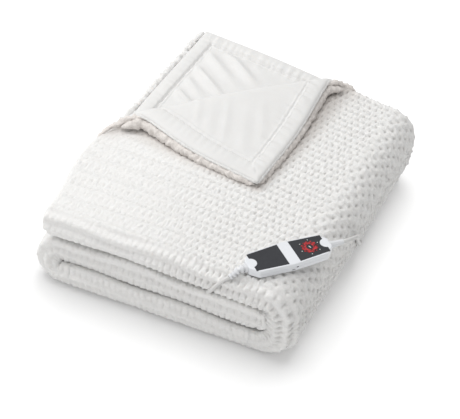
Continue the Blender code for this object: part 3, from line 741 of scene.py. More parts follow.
def slab(name, ps, qs, outer, inner, every, surface, facts):
    """A closed piece of cloth: a fine outer face, a coarser inner one, and a rim between them.

    outer holds the outer face's points and inner works out the inner face's from (p, q).  The inner
    face has one line for every so many of the outer one.  facts are values kept with the points.
    """
    rows, cols = len(ps), len(qs)
    keep_p = np.unique(np.append(np.arange(0, rows, every), rows - 1))
    keep_q = np.unique(np.append(np.arange(0, cols, every), cols - 1))
    low_p, low_q = grid_of(ps[keep_p], qs[keep_q])
    points = np.concatenate((outer.reshape(-1, 3), inner(low_p, low_q).reshape(-1, 3)))
    first, wide = rows * cols, len(keep_q)
    faces = grid_quads(rows, cols)[:, ::-1].tolist()  # the folds mirror the cloth
    faces += grid_quads(len(keep_p), wide, first).tolist()
    for along_p in (True, False):
        kept, ends = (keep_p, (cols, wide)) if along_p else (keep_q, (rows, len(keep_p)))
        for far in (False, True):
            edge, under_edge = (ends[0] - 1, ends[1] - 1) if far else (0, 0)
            for k in range(len(kept) - 1):
                span = np.arange(kept[k], kept[k + 1] + 1)
                upper = span * cols + edge if along_p else edge * cols + span
                under = np.array((k + 1, k))
                under = under * wide + under_edge if along_p else under_edge * wide + under
                face = [*upper.tolist(), *(first + under).tolist()]
                faces.append(face if along_p != far else face[::-1])
    mesh = bpy.data.meshes.new(name)
    mesh.from_pydata(points.tolist(), [], faces)
    mesh.shade_smooth()
    keep_fact(mesh, "cloth", np.concatenate((on_cloth(*grid_of(ps, qs)), on_cloth(low_p, low_q))))
    for fact, values in facts.items():
        keep_fact(mesh, fact, np.concatenate((values.ravel(), np.zeros(low_p.size))))
    mesh.materials.append(surface)
    thing = bpy.data.objects.new(name, mesh)
    scene.collection.objects.link(thing)
    return thing


# %% [markdown]
# ## The plush panel
# The first 0.56 m of the plush panel's length wraps the whole bundle and shows.  It is drawn as one
# grid, so that its pile runs on unbroken, and is then cut into three closed pieces, because a piece
# has a limit of 200,000 triangles.  The rest lies inside, and is one coarse piece.  By the turned
# corner's edges the pile is given painted shade, darker and warmer, so each point also keeps how
# near it is to those edges.

# %% Plush material
plush, tree, shader = material(
    "plush",
    roughness=0.95,
    sheen_weight=0.25,
    sheen_roughness=0.6,
    subsurface_weight=0.25,
    subsurface_radius=(1.0, 0.93, 0.87),
    subsurface_scale=0.006,
)
pit = node(tree, "ShaderNodeAttribute", attribute_name="pit").outputs["Fac"]
strands, tufts = noise(tree, 620.0, 3.0, 0.6), noise(tree, 270.0, 2.0, 0.6)
fluff = calc(tree, "ADD", calc(tree, "MULTIPLY", strands, 0.5), calc(tree, "MULTIPLY", tufts, 0.7))
tone = mixed(tree, calc(tree, "SUBTRACT", fluff, 0.10), (0.66, 0.654, 0.642), (0.82, 0.813, 0.799))
# Painted shade in the pits: the deeper in a pit, the darker its colour.
pit_shade = calc(tree, "MULTIPLY", calc(tree, "POWER", pit, 1.5), 0.50)
tone = mixed(tree, pit_shade, tone, (0.44, 0.42, 0.40))
# Painted shade: by the turned corner's edges the pile is coloured darker and warmer.
corner_shade = node(tree, "ShaderNodeAttribute", attribute_name="corner_shade").outputs["Fac"]
tone = mixed(tree, calc(tree, "MULTIPLY", corner_shade, 0.64), tone, (0.53, 0.478, 0.44))
coloured(tree, shader, tone)
bumped(tree, shader, fluff, 0.0030, 0.8)

# A darker, warmer copy of the plush: painted shade, for the rolls of pile under the turned-back corner
# and at its fold's ends.
plush_shaded, tree, shader = material(
    "plush_shaded", roughness=0.95, sheen_weight=0.2, sheen_roughness=0.6
)
strands = noise(tree, 420.0, 3.0, 0.6)
coloured(tree, shader, mixed(tree, strands, (0.52, 0.475, 0.445), (0.86, 0.825, 0.79)))
bumped(tree, shader, strands, 0.0020, 0.8)

# %% Lining and thread materials
lining, tree, shader = material(
    "lining",
    roughness=0.75,
    sheen_weight=0.35,
    sheen_roughness=0.45,
    subsurface_weight=0.15,
    subsurface_radius=(0.9, 0.8, 0.7),
    subsurface_scale=0.003,
)
nap = noise(tree, 900.0, 3.0, 0.65)
tone = mixed(tree, noise(tree, 30.0, 3.0), (0.630, 0.626, 0.616), (0.690, 0.686, 0.675))
coloured(tree, shader, mixed(tree, calc(tree, "MULTIPLY", nap, 0.25), tone, (0.62, 0.61, 0.595)))
bumped(tree, shader, nap, 0.0004, 0.35)

thread, tree, shader = material("thread", roughness=0.6, sheen_weight=0.3)
twist = noise(tree, 1500.0)
coloured(tree, shader, mixed(tree, twist, (0.60, 0.595, 0.585), (0.78, 0.775, 0.765)))
bumped(tree, shader, twist, 0.0001)

# %% The outer face of the plush
EDGE_ROLL, EDGE_FULL = 0.0065, 0.25
PILE_STEP_P, PILE_STEP_Q = PIT_APART / 6, ROW_APART / 8
OUTER_END = Q_STARTS[3] + 0.006  # the outer layer ends just under the front fold
STEP_OUT = 0.0005


def rounded_edge(p, q):
    """How full the cloth is near its sewn edges, from a quarter at the very edge to 1."""
    inside = np.minimum(np.minimum(p, CUT_WIDTH - p), np.minimum(q, CUT_LENGTH - q))
    past = np.clip(1 - inside / EDGE_ROLL, 0, 1)
    return EDGE_FULL + (1 - EDGE_FULL) * np.sqrt(1 - past**2)


TOP_RIDGE, TOP_APART, FRONT_RIDGE, FRONT_APART = 0.0017, 0.031, 0.0021, 0.0146


def ripples(p, q):
    """Soft ridges side by side over the heating wires: near the front of the top, and round it."""
    shown = smooth(p / 0.03) * (1 - smooth((p - 0.20) / 0.12)) * smooth((q - 0.30) / 0.05)
    shown = shown * (1 - smooth((q - 0.478) / 0.012))
    top = np.sin(2 * pi * (q + 0.05 * p + 0.002 * np.sin(31 * p)) / TOP_APART)
    round_front = smooth((q - Q_STARTS[2] + 0.006) / 0.012)
    round_front = round_front * (1 - smooth((q - Q_STARTS[3] + 0.004) / 0.010))
    front = np.sin(2 * pi * (q + 0.0016 * np.sin(37 * p)) / FRONT_APART)
    return TOP_RIDGE * shown * top + FRONT_RIDGE * round_front * front


def evaluated(draft, name):
    """The mesh that a draft's modifiers make, and the draft is gone."""
    made = bpy.data.meshes.new_from_object(
        draft.evaluated_get(bpy.context.evaluated_depsgraph_get())
    )
    bpy.data.objects.remove(draft)
    made.name = name
    return made


def pile_face(ps, qs, loft):
    """The outer face of the plush with its pile: its points, and how deep in a pit each one is."""
    p, q = grid_of(ps, qs)
    w = PLUSH_LOW + PLUSH_THICK * rounded_edge(p, q) + ripples(p, q)
    points = folded(p, q, w)
    outward = folded(p, q, w + STEP_OUT) - points
    outward /= np.linalg.norm(outward, axis=-1, keepdims=True)
    mesh = bpy.data.meshes.new("pile_draft")
    quads = grid_quads(len(ps), len(qs))[:, ::-1].tolist()
    mesh.from_pydata(points.reshape(-1, 3).tolist(), [], quads)
    keep_fact(mesh, "cloth", on_cloth(p, q))
    keep_fact(mesh, "outward", outward.reshape(-1, 3))
    keep_fact(mesh, "loft", np.broadcast_to(loft(p, q), p.shape).ravel())
    draft = bpy.data.objects.new("pile_draft", mesh)
    scene.collection.objects.link(draft)
    draft.modifiers.new("pile", "NODES").node_group = pile
    made = evaluated(draft, "pile_face")
    found, pits = np.zeros(len(made.vertices) * 3), np.zeros(len(made.vertices))
    made.vertices.foreach_get("co", found)
    made.attributes["pit"].data.foreach_get("value", pits)
    return found.reshape(*p.shape, 3), pits.reshape(p.shape)


# %% Painted shade on the pile by the turned corner's edges
# By the turned corner's edges the pile gets painted shade: a darker, warmer colour and darker pits.
CORNER_SHADE_SIDE, CORNER_SHADE_BACK = (0.012, 0.046), (0.014, 0.062)  # how wide, at the tip and the fold
CORNER_SHADE_PITS = 0.8  # how much darker the pits are there


def corner_shade_pile(ps, qs):
    """Where the turned corner's edges lie on the pile, for its painted shade: 1 by them, 0 away from
    them.
    """
    p, q = grid_of(ps, qs)
    found = np.zeros_like(p)
    share = np.linspace(0.0, 0.96, 60)
    for across, along, (tip, fold) in (
        (0 * share, share * CORNER_LEFT, CORNER_SHADE_SIDE),
        (share * CORNER_BACK, 0 * share, CORNER_SHADE_BACK),
    ):
        edge_p, edge_q, _ = turn_corner(across, along, np.full_like(share, SMOOTH_LOW))
        near = (p > edge_p.min() - fold) & (p < edge_p.max() + fold)
        near &= (q > edge_q.min() - fold) & (q < edge_q.max() + fold)
        far = np.hypot(p[near][:, None] - edge_p, q[near][:, None] - edge_q)
        wide = tip + (fold - tip) * share
        found[near] = np.maximum(found[near], (1 - smooth(far / wide)).max(axis=1))
    return found


def plush_piece(name, ps, qs, rows, face):
    """A closed piece of the plush, from some of its grid lines across."""
    points, pits = (values[rows] for values in face)
    corner_shade = corner_shade_pile(ps[rows], qs)
    # The pits there get deeper painted shade as well.
    facts = {"pit": pits * (1 + CORNER_SHADE_PITS * corner_shade), "corner_shade": corner_shade}
    return slab(name, ps[rows], qs, points, lambda p, q: folded(p, q, PLUSH_LOW), 6, plush, facts)


# %% The plush pieces
LOFT_LEFT, LOFT_GAIN, LOFT_SIDE, LOFT_LOW = 0.38, 0.62, 0.2, 0.62
FLAT_FRONT, FLAT_LOW_FRONT = 0.08, 0.10  # how much flatter it is at the front


def outer_loft(p, q):
    """How tall the pile stands: flattest at the left of the top, and tallest on the right side."""
    right = smooth((p - 0.10) / 0.22)
    front = smooth((q - 0.40) / 0.08)
    side = smooth((p - 0.36) / 0.05)
    top = LOFT_LEFT + LOFT_GAIN * right - FLAT_FRONT * front * (1 - right) + LOFT_SIDE * side
    low = LOFT_LOW - FLAT_LOW_FRONT * front
    return top + (low - top) * smooth((p - P_STARTS[3]) / 0.05)


pile = pile_tree(plush)
outer_p = spaced(0.0, (CUT_WIDTH, PILE_STEP_P))
outer_q = spaced(0.0, (OUTER_END, PILE_STEP_Q))
outer_face = pile_face(outer_p, outer_q, outer_loft)
cuts = [int(np.searchsorted(outer_p, p)) for p in (P_STARTS[4] + 0.008, P_STARTS[5] - 0.02)]
cuts = [0, *cuts, len(outer_p) - 1]
plush_pieces = []
for name, first, last in zip(("plush_top", "plush_under", "plush_inner"), cuts, cuts[1:]):
    rows = slice(first, last + 1)
    plush_pieces.append(plush_piece(name, outer_p, outer_q, rows, outer_face))

inner_p = spaced(
    0.0, (0.030, PILE_STEP_P), (P_STARTS[1], 0.010), (P_STARTS[5], 0.008), (P_STARTS[6], 0.004),
    (CUT_WIDTH, 0.010),
)
inner_q = spaced(
    OUTER_END, (Q_STARTS[4], 0.010), (Q_STARTS[5], 0.0022), (Q_STARTS[6], 0.010),
    (Q_STARTS[7], 0.004), (CUT_LENGTH - 0.05, 0.010), (CUT_LENGTH, 0.0022),
)
inner_face = pile_face(inner_p, inner_q, lambda p, q: 0.3)
plush_pieces.append(plush_piece("plush_layers", inner_p, inner_q, slice(None), inner_face))
for piece in plush_pieces:
    print(piece.name, "has", triangles(piece.data), "triangles")

# %% [markdown]
# ## The lining
# The inside panel is a smooth, thin fleece.  It is one closed sheet, as it was cut, fine where it
# shows: on the corner that is turned back and on the layer that this uncovers.  There it has a
# padded hem along both edges, a seam with a thin ridge inside it, and small puckers across the
# seam.  Soft wrinkles run from the corner towards the fold, fuller on the layer that is uncovered.

# %% Relief of the lining
HEM, HEM_PAD, SEAM_WIDE, SEAM_DEEP, SEAM_WANDER = 0.0285, 0.0036, 0.0014, 0.0016, 0.0006
RIDGE_IN, RIDGE_HIGH, RIDGE_WIDE = 0.0040, 0.0013, 0.0014
PUCKER, GATHERED_SIDE, GATHERED_BACK = 0.0155, 0.0005, 0.0015  # spacing of the puckers, heights
SHOWN = 0.330  # how far from the corner the relief is at full height
UNCOVERED_FULL, TURNED_FULL = 1.0, 0.55  # how full it is on the layer below and on the corner
WRINKLES = (
    (-0.070, 0.085, 0.0080, 0.0066),
    (-0.038, 0.070, 0.0095, 0.0060),
    (-0.012, 0.110, 0.0085, 0.0072),
    (0.022, 0.090, 0.0095, 0.0066),
    (0.056, 0.120, 0.0075, 0.0076),
    (0.088, 0.100, 0.0085, 0.0060),
    (0.112, 0.150, 0.0070, 0.0070),
)  # each one's place across the corner, its middle, its half width and its height
SLANT_ACROSS, SLANT_ALONG, WRINKLE_LONG = 0.57, 0.82, 0.055  # which way they run, and how long
SEED_BELOW, SEED_TURNED = 3, 11  # of the uneven waves on the layer below and on the corner


def bell(x, wide):
    return np.exp(-((x / wide) ** 2))


def uneven(x, seed):
    """A slow irregular wave of x, between about -1 and 1."""
    rng = np.random.default_rng(seed)
    waves = [(rng.uniform(60, 420), rng.uniform(0, 2 * pi)) for _ in range(7)]
    return sum(np.sin(rate * x + start) for rate, start in waves) / 3.2


def hem_relief(across, along, seed, full, gathered):
    """The height of the hem at a distance in from an edge, at a place along it."""
    crown = np.sqrt(np.clip(np.sin(pi * np.clip(across / HEM, 0, 1)), 0, 1))
    padded = HEM_PAD * full * crown
    line = HEM + SEAM_WANDER * uneven(along, seed + 1)
    groove = -SEAM_DEEP * full * bell(across - line, SEAM_WIDE)
    ridge = RIDGE_HIGH * full * bell(across - line - RIDGE_IN, RIDGE_WIDE)
    fade = bell(across - 0.8 * line, 0.0155) * smooth((across - 0.003) / 0.010)
    wave = np.sin(2 * pi * along / PUCKER + 2.4 * uneven(0.5 * along, seed))
    wave = wave * (0.75 + 0.5 * uneven(along, seed + 2))
    return padded + groove + ridge + gathered * wave * fade


def lining_relief(p, q):
    """How much the lining stands out of its plane, where it shows."""
    total = np.zeros_like(p)
    back = CUT_LENGTH - q
    for edge, seed, full in ((back, SEED_BELOW, UNCOVERED_FULL), (q, SEED_TURNED, TURNED_FULL)):
        near = smooth((SHOWN - p) / 0.02 + 1) * smooth((SHOWN - edge) / 0.02 + 1)
        inner = np.maximum(np.minimum(p, edge) - HEM, 0)
        from_side = hem_relief(p, edge, seed, full, GATHERED_SIDE)
        from_back = hem_relief(edge, p, seed + 5, full, GATHERED_BACK)
        first = smooth((edge - p) / 0.004 + 0.5)
        hem = from_side * first + from_back * (1 - first)
        s = SLANT_ALONG * edge - SLANT_ACROSS * p
        t = SLANT_ALONG * p + SLANT_ACROSS * edge
        soft = sum(
            high * bell(s - at + 0.10 * (t - middle), wide) * bell(t - middle, WRINKLE_LONG)
            for at, middle, wide, high in WRINKLES
        )
        past = FOLD_LINE * (1 - p / CORNER_BACK - edge / CORNER_LEFT) + TURN_START
        shown = near * smooth((past - 0.004) / 0.022)
        total = total + shown * (hem + full**3 * soft * smooth(inner / 0.02))
    return total


# %% Lining
FINE_HEM = ((0.038, 0.0015), (0.345, 0.0036))
lining_p = spaced(
    0.0, *FINE_HEM, (P_STARTS[1], 0.012), (P_STARTS[2], 0.006), (P_STARTS[5], 0.010),
    (P_STARTS[6], 0.005), (CUT_WIDTH, 0.012),
)
lining_q = spaced(
    0.0, *FINE_HEM, (Q_STARTS[2], 0.012), (Q_STARTS[3], 0.005), (Q_STARTS[4], 0.012),
    (Q_STARTS[5], 0.004), (Q_STARTS[6], 0.012), (Q_STARTS[7], 0.003),
    (CUT_LENGTH - 0.345, 0.012), (CUT_LENGTH - 0.038, 0.0036), (CUT_LENGTH, 0.0015),
)


def lining_face(p, q):
    full = rounded_edge(p, q)
    return folded(p, q, SMOOTH_HIGH - SMOOTH_THICK * full - lining_relief(p, q) * full)


lining_sheet = slab(
    "lining",
    lining_p,
    lining_q,
    lining_face(*grid_of(lining_p, lining_q)),
    lambda p, q: folded(p, q, SMOOTH_HIGH),
    2,
    lining,
    {},
)
lining_sheet.data.flip_normals()
print("the lining has", triangles(lining_sheet.data), "triangles")

# %% [markdown]
# ## The sewn edge and its stitches
# The two panels are sewn together round all four edges, where the plush turns over into a soft
# rolled rim.  The rim is a line round the cloth, given a round section by Geometry Nodes.  Where an
# edge shows, the same tree adds a fuller, rougher roll of pile: under the turned-back corner, where
# it grows towards the fold and sinks into the pile, at the fold's two ends, on the edge below, and
# at the middle band's end.  The rolls under the corner and at the fold's ends are coloured darker
# and warmer than the plush, as painted shade.  The stitches of the hem are a short thread set down
# again and again along the seam, by another tree.

# %% Rim and stitch trees
def grown(name, tree, points, closed=False, linked=True, **values):
    """Runs a tree on a line of points and keeps what it makes as a plain mesh."""
    mesh = bpy.data.meshes.new(name)
    count = len(points)
    edges = [(k, (k + 1) % count) for k in range(count if closed else count - 1)] if linked else []
    mesh.from_pydata([tuple(point) for point in points], edges, [])
    draft = bpy.data.objects.new(name, mesh)
    scene.collection.objects.link(draft)
    grow = draft.modifiers.new("grow", "NODES")
    grow.node_group = tree
    for item in tree.interface.items_tree:
        key = item.name.replace(" ", "_").lower()
        if item.in_out == "INPUT" and key in values:
            grow[item.identifier] = values[key]
    made = evaluated(draft, name)
    thing = bpy.data.objects.new(name, made)
    scene.collection.objects.link(thing)
    print(name, "has", triangles(made), "triangles")
    return thing


def swept(tree, line, ring, scale):
    """A round section carried along a line, with its ends closed."""
    inputs = {"Curve": line, "Profile Curve": ring, "Scale": scale, "Fill Caps": True}
    return node(tree, "GeometryNodeCurveToMesh", inputs).outputs[0]


RIM_INPUTS = (
    ("Radius", "Float", 0.0027),
    ("Swell", "Float", 0.0),
    ("Taper", "Float", 0.001),
    ("Fuzz", "Float", 0.0030),
    ("Grain", "Float", 260.0),
)


def rim_tree(surface):
    """A soft roll along a line, which may swell along it and narrows at its two ends."""
    tree, given = tree_for("sewn_rim", RIM_INPUTS)
    line = node(tree, "GeometryNodeMeshToCurve", [given["Geometry"]]).outputs[0]
    along = node(tree, "GeometryNodeSplineParameter").outputs["Factor"]
    grow = calc(tree, "ADD", 1.0, calc(tree, "MULTIPLY", along, given["Swell"]))
    to_end = calc(tree, "MINIMUM", along, calc(tree, "SUBTRACT", 1.0, along))
    to_end = calc(tree, "ADD", calc(tree, "DIVIDE", to_end, given["Taper"]), 0.02)
    narrowed = calc(tree, "POWER", calc(tree, "MINIMUM", to_end, 1.0), 0.6)
    grow = calc(tree, "MULTIPLY", grow, narrowed)
    line = node(tree, "GeometryNodeSetCurveRadius", {"Curve": line, "Radius": grow}).outputs[0]
    ring = {"Resolution": 14, "Radius": given["Radius"]}
    ring = node(tree, "GeometryNodeCurvePrimitiveCircle", ring).outputs[0]
    rim = swept(tree, line, ring, grow)
    spot = node(tree, "GeometryNodeInputPosition").outputs[0]
    tufts = calc(tree, "SUBTRACT", noise(tree, given["Grain"], 1.5, 0.5, spot), 0.45)
    way = node(tree, "GeometryNodeInputNormal").outputs[0]
    rim = moved_out(tree, rim, way, calc(tree, "MULTIPLY", tufts, given["Fuzz"]))
    return end_tree(tree, rim, surface)


STITCH_INPUTS = (("Apart", "Float", 0.0036), ("Long", "Float", 0.0026), ("Thick", "Float", 0.00030))


def stitch_tree(surface):
    """Short threads set down along a line, a step apart."""
    tree, given = tree_for("stitches", STITCH_INPUTS)
    line = node(tree, "GeometryNodeMeshToCurve", [given["Geometry"]]).outputs[0]
    steps = {"Curve": line, "Length": given["Apart"]}
    even = node(tree, "GeometryNodeCurveToPoints", steps, mode="LENGTH").outputs
    bead = {"Vertices": 6, "Radius": given["Thick"], "Depth": given["Long"]}
    bead = node(tree, "GeometryNodeMeshCylinder", bead, fill_type="TRIANGLE_FAN").outputs[0]
    inputs = {"Points": even[0], "Instance": bead, "Rotation": even["Rotation"]}
    set_down = node(tree, "GeometryNodeInstanceOnPoints", inputs)
    return end_tree(tree, set_down.outputs[0], surface)


# %% The sewn rim
RIM_IN, RIM_STEP, RIM_UP = 0.0008, 0.0022, PLUSH_LOW + 0.0012
rim_p = np.arange(RIM_IN, CUT_WIDTH - RIM_IN, RIM_STEP)
rim_q = np.arange(RIM_IN, CUT_LENGTH - RIM_IN, RIM_STEP)
sides = (
    (rim_p, np.full_like(rim_p, RIM_IN)),
    (np.full_like(rim_q, CUT_WIDTH - RIM_IN), rim_q),
    (rim_p[::-1], np.full_like(rim_p, CUT_LENGTH - RIM_IN)),
    (np.full_like(rim_q, RIM_IN), rim_q[::-1]),
)
rim_line = np.concatenate([folded(p, q, np.full_like(p, RIM_UP)) for p, q in sides])
sewn_rim = grown("sewn_rim", rim_tree(plush), rim_line, closed=True)


# %% The rolls of pile along the edges that show
def edge_line(place, ends, out, up):
    """A line along an edge of the cloth, outside it by out; up is its height at its two ends."""
    along = np.arange(*ends, RIM_STEP)
    p, q = place(along, -out)
    return folded(p, q, np.linspace(*up, len(along)))


def left_below(along, at):
    return np.full_like(along, at), CUT_LENGTH - along


def left_corner(along, at):
    return np.full_like(along, at), along


def back_corner(along, at):
    return along, np.full_like(along, at)


def inner_end(along, at):
    return np.full_like(along, CUT_WIDTH - at), along


ROLL_GRAIN = 150.0
UNDER_LEFT = {"out": 0.0010, "up": (0.0042, 0.0122), "radius": 0.0048, "swell": 0.9, "taper": 0.10}
UNDER_BACK = {"out": 0.0000, "up": (0.0042, 0.0125), "radius": 0.0046, "swell": 0.9, "taper": 0.10}
AT_FOLD = {"out": 0.0012, "up": (0.0010, 0.0010), "radius": 0.0042, "swell": 0.0, "taper": 0.20}
BELOW = {"out": 0.0050, "up": (-0.0018, -0.0018), "radius": 0.0050, "swell": 0.0, "taper": 0.03}
AT_END = {"out": 0.0005, "up": (0.0020, 0.0020), "radius": 0.0044, "swell": 0.0, "taper": 0.06}
rims = [sewn_rim]
# The rolls under the turned-back corner and at its fold's ends have the darker, warmer copy of the
# plush: painted shade.
for name, surface, place, ends, fuzz, sizes in (
    ("rim_below", plush, left_below, (0.004, 0.300), 0.016, BELOW),
    ("rim_left", plush_shaded, left_corner, (0.006, 0.296), 0.013, UNDER_LEFT),
    ("rim_back", plush_shaded, back_corner, (0.006, 0.290), 0.013, UNDER_BACK),
    ("rim_fold_left", plush_shaded, left_corner, (0.262, 0.324), 0.013, AT_FOLD),
    ("rim_fold_back", plush_shaded, back_corner, (0.258, 0.314), 0.013, AT_FOLD),
    ("rim_end", plush, inner_end, (0.440, 0.560), 0.010, AT_END),
):
    line = edge_line(place, ends, sizes["out"], sizes["up"])
    shape = {key: sizes[key] for key in ("radius", "swell", "taper")}
    rims.append(grown(name, rim_tree(surface), line, fuzz=fuzz, grain=ROLL_GRAIN, **shape))

# %% Stitches
SEAM_PAST, THREAD_OUT = 0.0034, 0.0001
stitch = stitch_tree(thread)
stitch_rows = []
along = np.arange(HEM, 0.325, 0.003)
for number, (at_edge, seed) in enumerate(
    ((lambda e: CUT_LENGTH - e, SEED_BELOW), (lambda e: e, SEED_TURNED))
):
    for turned, shift in ((False, seed + 1), (True, seed + 6)):
        off = HEM + SEAM_WANDER * uneven(along, shift) - SEAM_PAST
        p, q = (along, at_edge(off)) if turned else (off, at_edge(along))
        w = SMOOTH_LOW - lining_relief(p, q) - THREAD_OUT
        name = f"stitches_{2 * number + turned + 1}"
        stitch_rows.append(grown(name, stitch, folded(p, q, w)))

# %% [markdown]
# ## The switch and the leads
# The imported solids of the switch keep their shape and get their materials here: a satin white
# shell, two dark inlays and a red ring.  Its small details are added on top: teeth round the ring,
# six small lights round them, a light mark in the middle, and a catch and a slot in the seam.

# %% Materials of the hard pieces
GRAIN_DEEP, GLOSS_SPREAD = 0.00006, 0.04


def moulded(name, first, second, roughness, scale=240.0, contrast=1.0, **settings):
    """A plastic or metal with a grain in its colour and surface, faint unless contrast is high."""
    made, tree, shader = material(name, **settings)
    grain = noise(tree, scale, 3.0)
    share = calc(tree, "MULTIPLY_ADD", grain, contrast, 0.5 - 0.5 * contrast)
    coloured(tree, shader, mixed(tree, share, first, second))
    low, high = roughness - GLOSS_SPREAD, roughness + GLOSS_SPREAD
    span = node(tree, "ShaderNodeMapRange", {"Value": grain, "To Min": low, "To Max": high})
    tree.links.new(span.outputs[0], shader.inputs["Roughness"])
    bumped(tree, shader, grain, GRAIN_DEEP, 0.25)
    return made


FINISH_ROWS = {  # two colours, roughness, and what else each has
    "shell_white": ((0.66, 0.675, 0.70), (0.71, 0.725, 0.75), 0.34, {"coat_weight": 0.15}),
    "inlay_dark": ((0.010, 0.011, 0.015), (0.018, 0.020, 0.026), 0.30, {"coat_weight": 0.30}),
    "relief_white": ((0.62, 0.628, 0.645), (0.69, 0.698, 0.715), 0.45, {}),
    "lead_white": ((0.52, 0.515, 0.505), (0.60, 0.595, 0.585), 0.42, {"scale": 900.0}),
    "light_red": (
        (0.012, 0.001, 0.002), (0.55, 0.012, 0.018), 0.30,
        {"scale": 330.0, "contrast": 5.0, "coat_weight": 0.4},
    ),
    "light_white": ((0.62, 0.64, 0.62), (0.74, 0.76, 0.74), 0.35, {"scale": 900.0}),
    "slot_dark": ((0.10, 0.10, 0.11), (0.16, 0.16, 0.17), 0.6, {}),
    "pin_brass": ((0.62, 0.50, 0.27), (0.80, 0.68, 0.42), 0.28, {"scale": 1400.0, "metallic": 1.0}),
}
finish = {
    name: moulded(name, first, second, roughness, **more)
    for name, (first, second, roughness, more) in FINISH_ROWS.items()
}
NODES_BY_FINISH = {
    "shell_white": ("switch_cover", "switch_base", "plug"),
    "inlay_dark": ("inlay_left", "inlay_right", "switch_button"),
    "light_red": ("ring_light",),
    "relief_white": ("relief_mains", "relief_plug"),
    "pin_brass": ("plug_pin_1", "plug_pin_2"),
}
for name, cad_nodes in NODES_BY_FINISH.items():
    for cad_node in cad_nodes:
        for slot in frame["nodes"][cad_node].material_slots:
            slot.material = finish[name]
for lead in (blanket_lead, mains_lead):
    lead.data.materials.append(finish["lead_white"])
print(len(finish), "finishes for the hard pieces and the leads")

# %% [markdown]
# ## The ribbed strain relief
# The short lead comes out of the switch through a rubber sleeve with grooves round it, which let
# it bend without a kink.  Its radius is a rule of the length along the lead, so Geometry Nodes give
# the lead's own line a round section that narrows and steps in at each groove.

# %% Ribbed strain relief
SLEEVE_INPUTS = (
    ("Start", "Float", 0.0070),
    ("End", "Float", 0.0044),
    ("Ribs", "Float", 4.5),
    ("Land", "Float", 0.52),
    ("Groove", "Float", 0.46),
)


def ribbed_tree(surface):
    """A tapered sleeve on a line, with grooves cut round it."""
    tree, given = tree_for("ribbed_sleeve", SLEEVE_INPUTS)
    line = node(tree, "GeometryNodeMeshToCurve", [given["Geometry"]]).outputs[0]
    line = node(tree, "GeometryNodeResampleCurve", {"Curve": line, "Count": 110}).outputs[0]
    along = node(tree, "GeometryNodeSplineParameter").outputs["Factor"]
    narrowed = calc(tree, "MULTIPLY", along, calc(tree, "SUBTRACT", given["End"], given["Start"]))
    rib = calc(tree, "FRACT", calc(tree, "MULTIPLY", along, given["Ribs"]))
    cut = calc(tree, "MULTIPLY", calc(tree, "GREATER_THAN", rib, given["Land"]), given["Groove"])
    whole = calc(tree, "ADD", given["Start"], narrowed)
    radius = calc(tree, "MULTIPLY", whole, calc(tree, "SUBTRACT", 1.0, cut))
    ring = {"Resolution": 24, "Radius": 1.0}
    ring = node(tree, "GeometryNodeCurvePrimitiveCircle", ring).outputs[0]
    return end_tree(tree, swept(tree, line, ring, radius), surface)


def to_length(line, end):
    """A line without what lies past this length."""
    rest = from_length(line, end)
    return [*line[: len(line) - len(rest) + 1], rest[0]]


sleeve_line = to_length(along_route(blanket_route), RELIEF_BLANKET)
ribbed_sleeve = grown("ribbed_sleeve", ribbed_tree(finish["relief_white"]), sleeve_line)

# %% Details of the switch
INLAY_TOP = SHELL + 0.0002
LIGHT_AT, BUTTON_TOP, ON_INLAY = 0.0350, INLAY_TOP + 0.0002, INLAY_TOP + 0.0001


def on_switch(x, y, z):
    """A point given in the switch's own directions: along it, across it and up."""
    return SWITCH_AT + turn_to_switch @ Vector((x, y, z))


BEAD_INPUTS = (
    ("Middle", "Vector", (0.0, 0.0, 0.0)),
    ("Up", "Vector", (0.0, 0.0, 1.0)),
    ("Size", "Vector", (0.001, 0.001, 0.001)),
    ("Sides", "Int", 4),
)


def round_tree(name, surface):
    """Small boxes or beads set down on points, turned to face away from a middle."""
    tree, given = tree_for(name, BEAD_INPUTS)
    turned = "FunctionNodeAlignRotationToVector"
    spot = node(tree, "GeometryNodeInputPosition").outputs[0]
    away = vector(tree, "SUBTRACT", spot, given["Middle"])
    facing = node(tree, turned, {"Vector": given["Up"]}, axis="Z").outputs[0]
    inputs = {"Rotation": facing, "Vector": away}
    facing = node(tree, turned, inputs, axis="X", pivot_axis="Z").outputs[0]
    bead = {"Vertices": given["Sides"], "Radius": 0.5, "Depth": 1.0}
    bead = node(tree, "GeometryNodeMeshCylinder", bead, fill_type="TRIANGLE_FAN").outputs[0]
    points = {"Points": given["Geometry"], "Instance": bead}
    inputs = points | {"Rotation": facing, "Scale": given["Size"]}
    set_down = node(tree, "GeometryNodeInstanceOnPoints", inputs)
    return end_tree(tree, set_down.outputs[0], surface)


def ring_of(name, count, radius, size, sides, surface, start=0.0):
    """Small pieces in a ring round the middle of the light."""
    turns = [start + 2 * pi * k / count for k in range(count)]
    points = [
        on_switch(LIGHT_AT + radius * cos(turn), radius * sin(turn), ON_INLAY) for turn in turns
    ]
    middle, up = on_switch(LIGHT_AT, 0, ON_INLAY), turn_to_switch @ Vector((0, 0, 1))
    values = {"middle": middle, "up": up, "size": size, "sides": sides}
    return grown(name, round_tree(name, surface), points, linked=False, **values)


TOOTH, SMALL_LIGHT = (0.0026, 0.0030, 0.0006), (0.0015, 0.0015, 0.0006)
ring_teeth = ring_of("ring_teeth", 12, 0.0122, TOOTH, 4, finish["light_red"])
small_lights = ring_of(
    "small_lights", 6, 0.0158, SMALL_LIGHT, 12, finish["light_white"], radians(18)
)


def box_on_switch(name, middle, size, surface, slant=0.0):
    """A small closed box on the switch."""
    bm = bmesh.new()
    bmesh.ops.create_cube(bm, size=1.0)
    for vert in bm.verts:
        x, y, z = (at * wide for at, wide in zip(vert.co, size))
        vert.co = on_switch(middle[0] + x + slant * y, middle[1] + y, middle[2] + z)
    bmesh.ops.bevel(
        bm, geom=bm.edges[:], offset=min(size) * 0.25, segments=2, affect="EDGES", profile=0.5
    )
    mesh = bpy.data.meshes.new(name)
    bm.to_mesh(mesh)
    bm.free()
    mesh.materials.append(surface)
    thing = bpy.data.objects.new(name, mesh)
    scene.collection.objects.link(thing)
    return thing


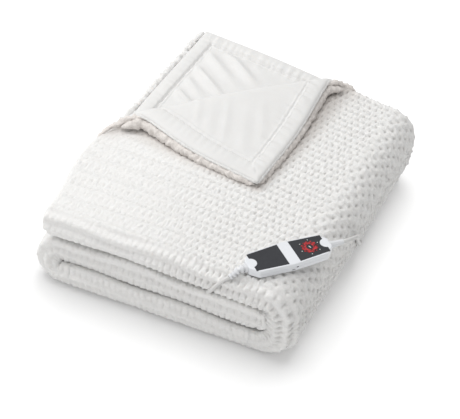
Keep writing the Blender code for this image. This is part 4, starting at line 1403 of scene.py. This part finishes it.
HALF_WIDE, MARK_SLANT = 0.0262, -0.35
button_mark = box_on_switch(
    "button_mark", (LIGHT_AT, 0.0, BUTTON_TOP + 0.0001), (0.0014, 0.0042, 0.0004),
    finish["light_white"], MARK_SLANT,
)
catch, finger_slot = (
    box_on_switch(name, (x, -HALF_WIDE, z), size, finish["slot_dark"])
    for name, x, z, size in (
        ("catch", 0.0030, 0.0006, (0.0034, 0.0006, 0.0016)),
        ("finger_slot", -0.0030, -0.0030, (0.0050, 0.0006, 0.0010)),
    )
)

# %% [markdown]
# ## What rides on what
# The blanket has no joints, so every piece rides on the one body.  Where a piece stands for imported
# solids, these are hidden.

# %% Riding
def settle_in(piece, slot, *nodes):
    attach(piece, "root")
    if nodes:
        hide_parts(*nodes)


for piece in plush_pieces:
    settle_in(piece, "plush", "blanket_face")
settle_in(lining_sheet, "smooth_cloth", "blanket_reverse")
for piece in rims:
    settle_in(piece, "plush")
for piece in stitch_rows:
    settle_in(piece, "smooth_cloth")
for piece, slot in (
    (ring_teeth, "red_light"),
    (small_lights, "red_light"),
    (button_mark, "white_plastic"),
    (catch, "dark_inlay"),
    (finger_slot, "dark_inlay"),
):
    settle_in(piece, slot)
settle_in(ribbed_sleeve, "relief_plastic", "relief_blanket")
settle_in(blanket_lead, "lead_sleeve", "lead_blanket")
settle_in(mains_lead, "lead_sleeve", "lead_mains", "lead_coil", "lead_plug")

# %% [markdown]
# ## What each lamp lights
# Three lamps light the blanket alone and one lights the floor alone, so that the floor stays white
# and keeps a dark, narrow shadow next to the blanket.  Blender calls this light linking.

# %% Light linking
blanket_things, floor_things = (
    bpy.data.collections.new(name) for name in ("blanket_lit", "floor_lit")
)
for thing in scene.objects:
    if thing.type in ("MESH", "CURVE"):
        (floor_things if thing is floor else blanket_things).objects.link(thing)
for light in (key, top, fill, sweep):
    light.light_linking.receiver_collection = floor_things if light is sweep else blanket_things
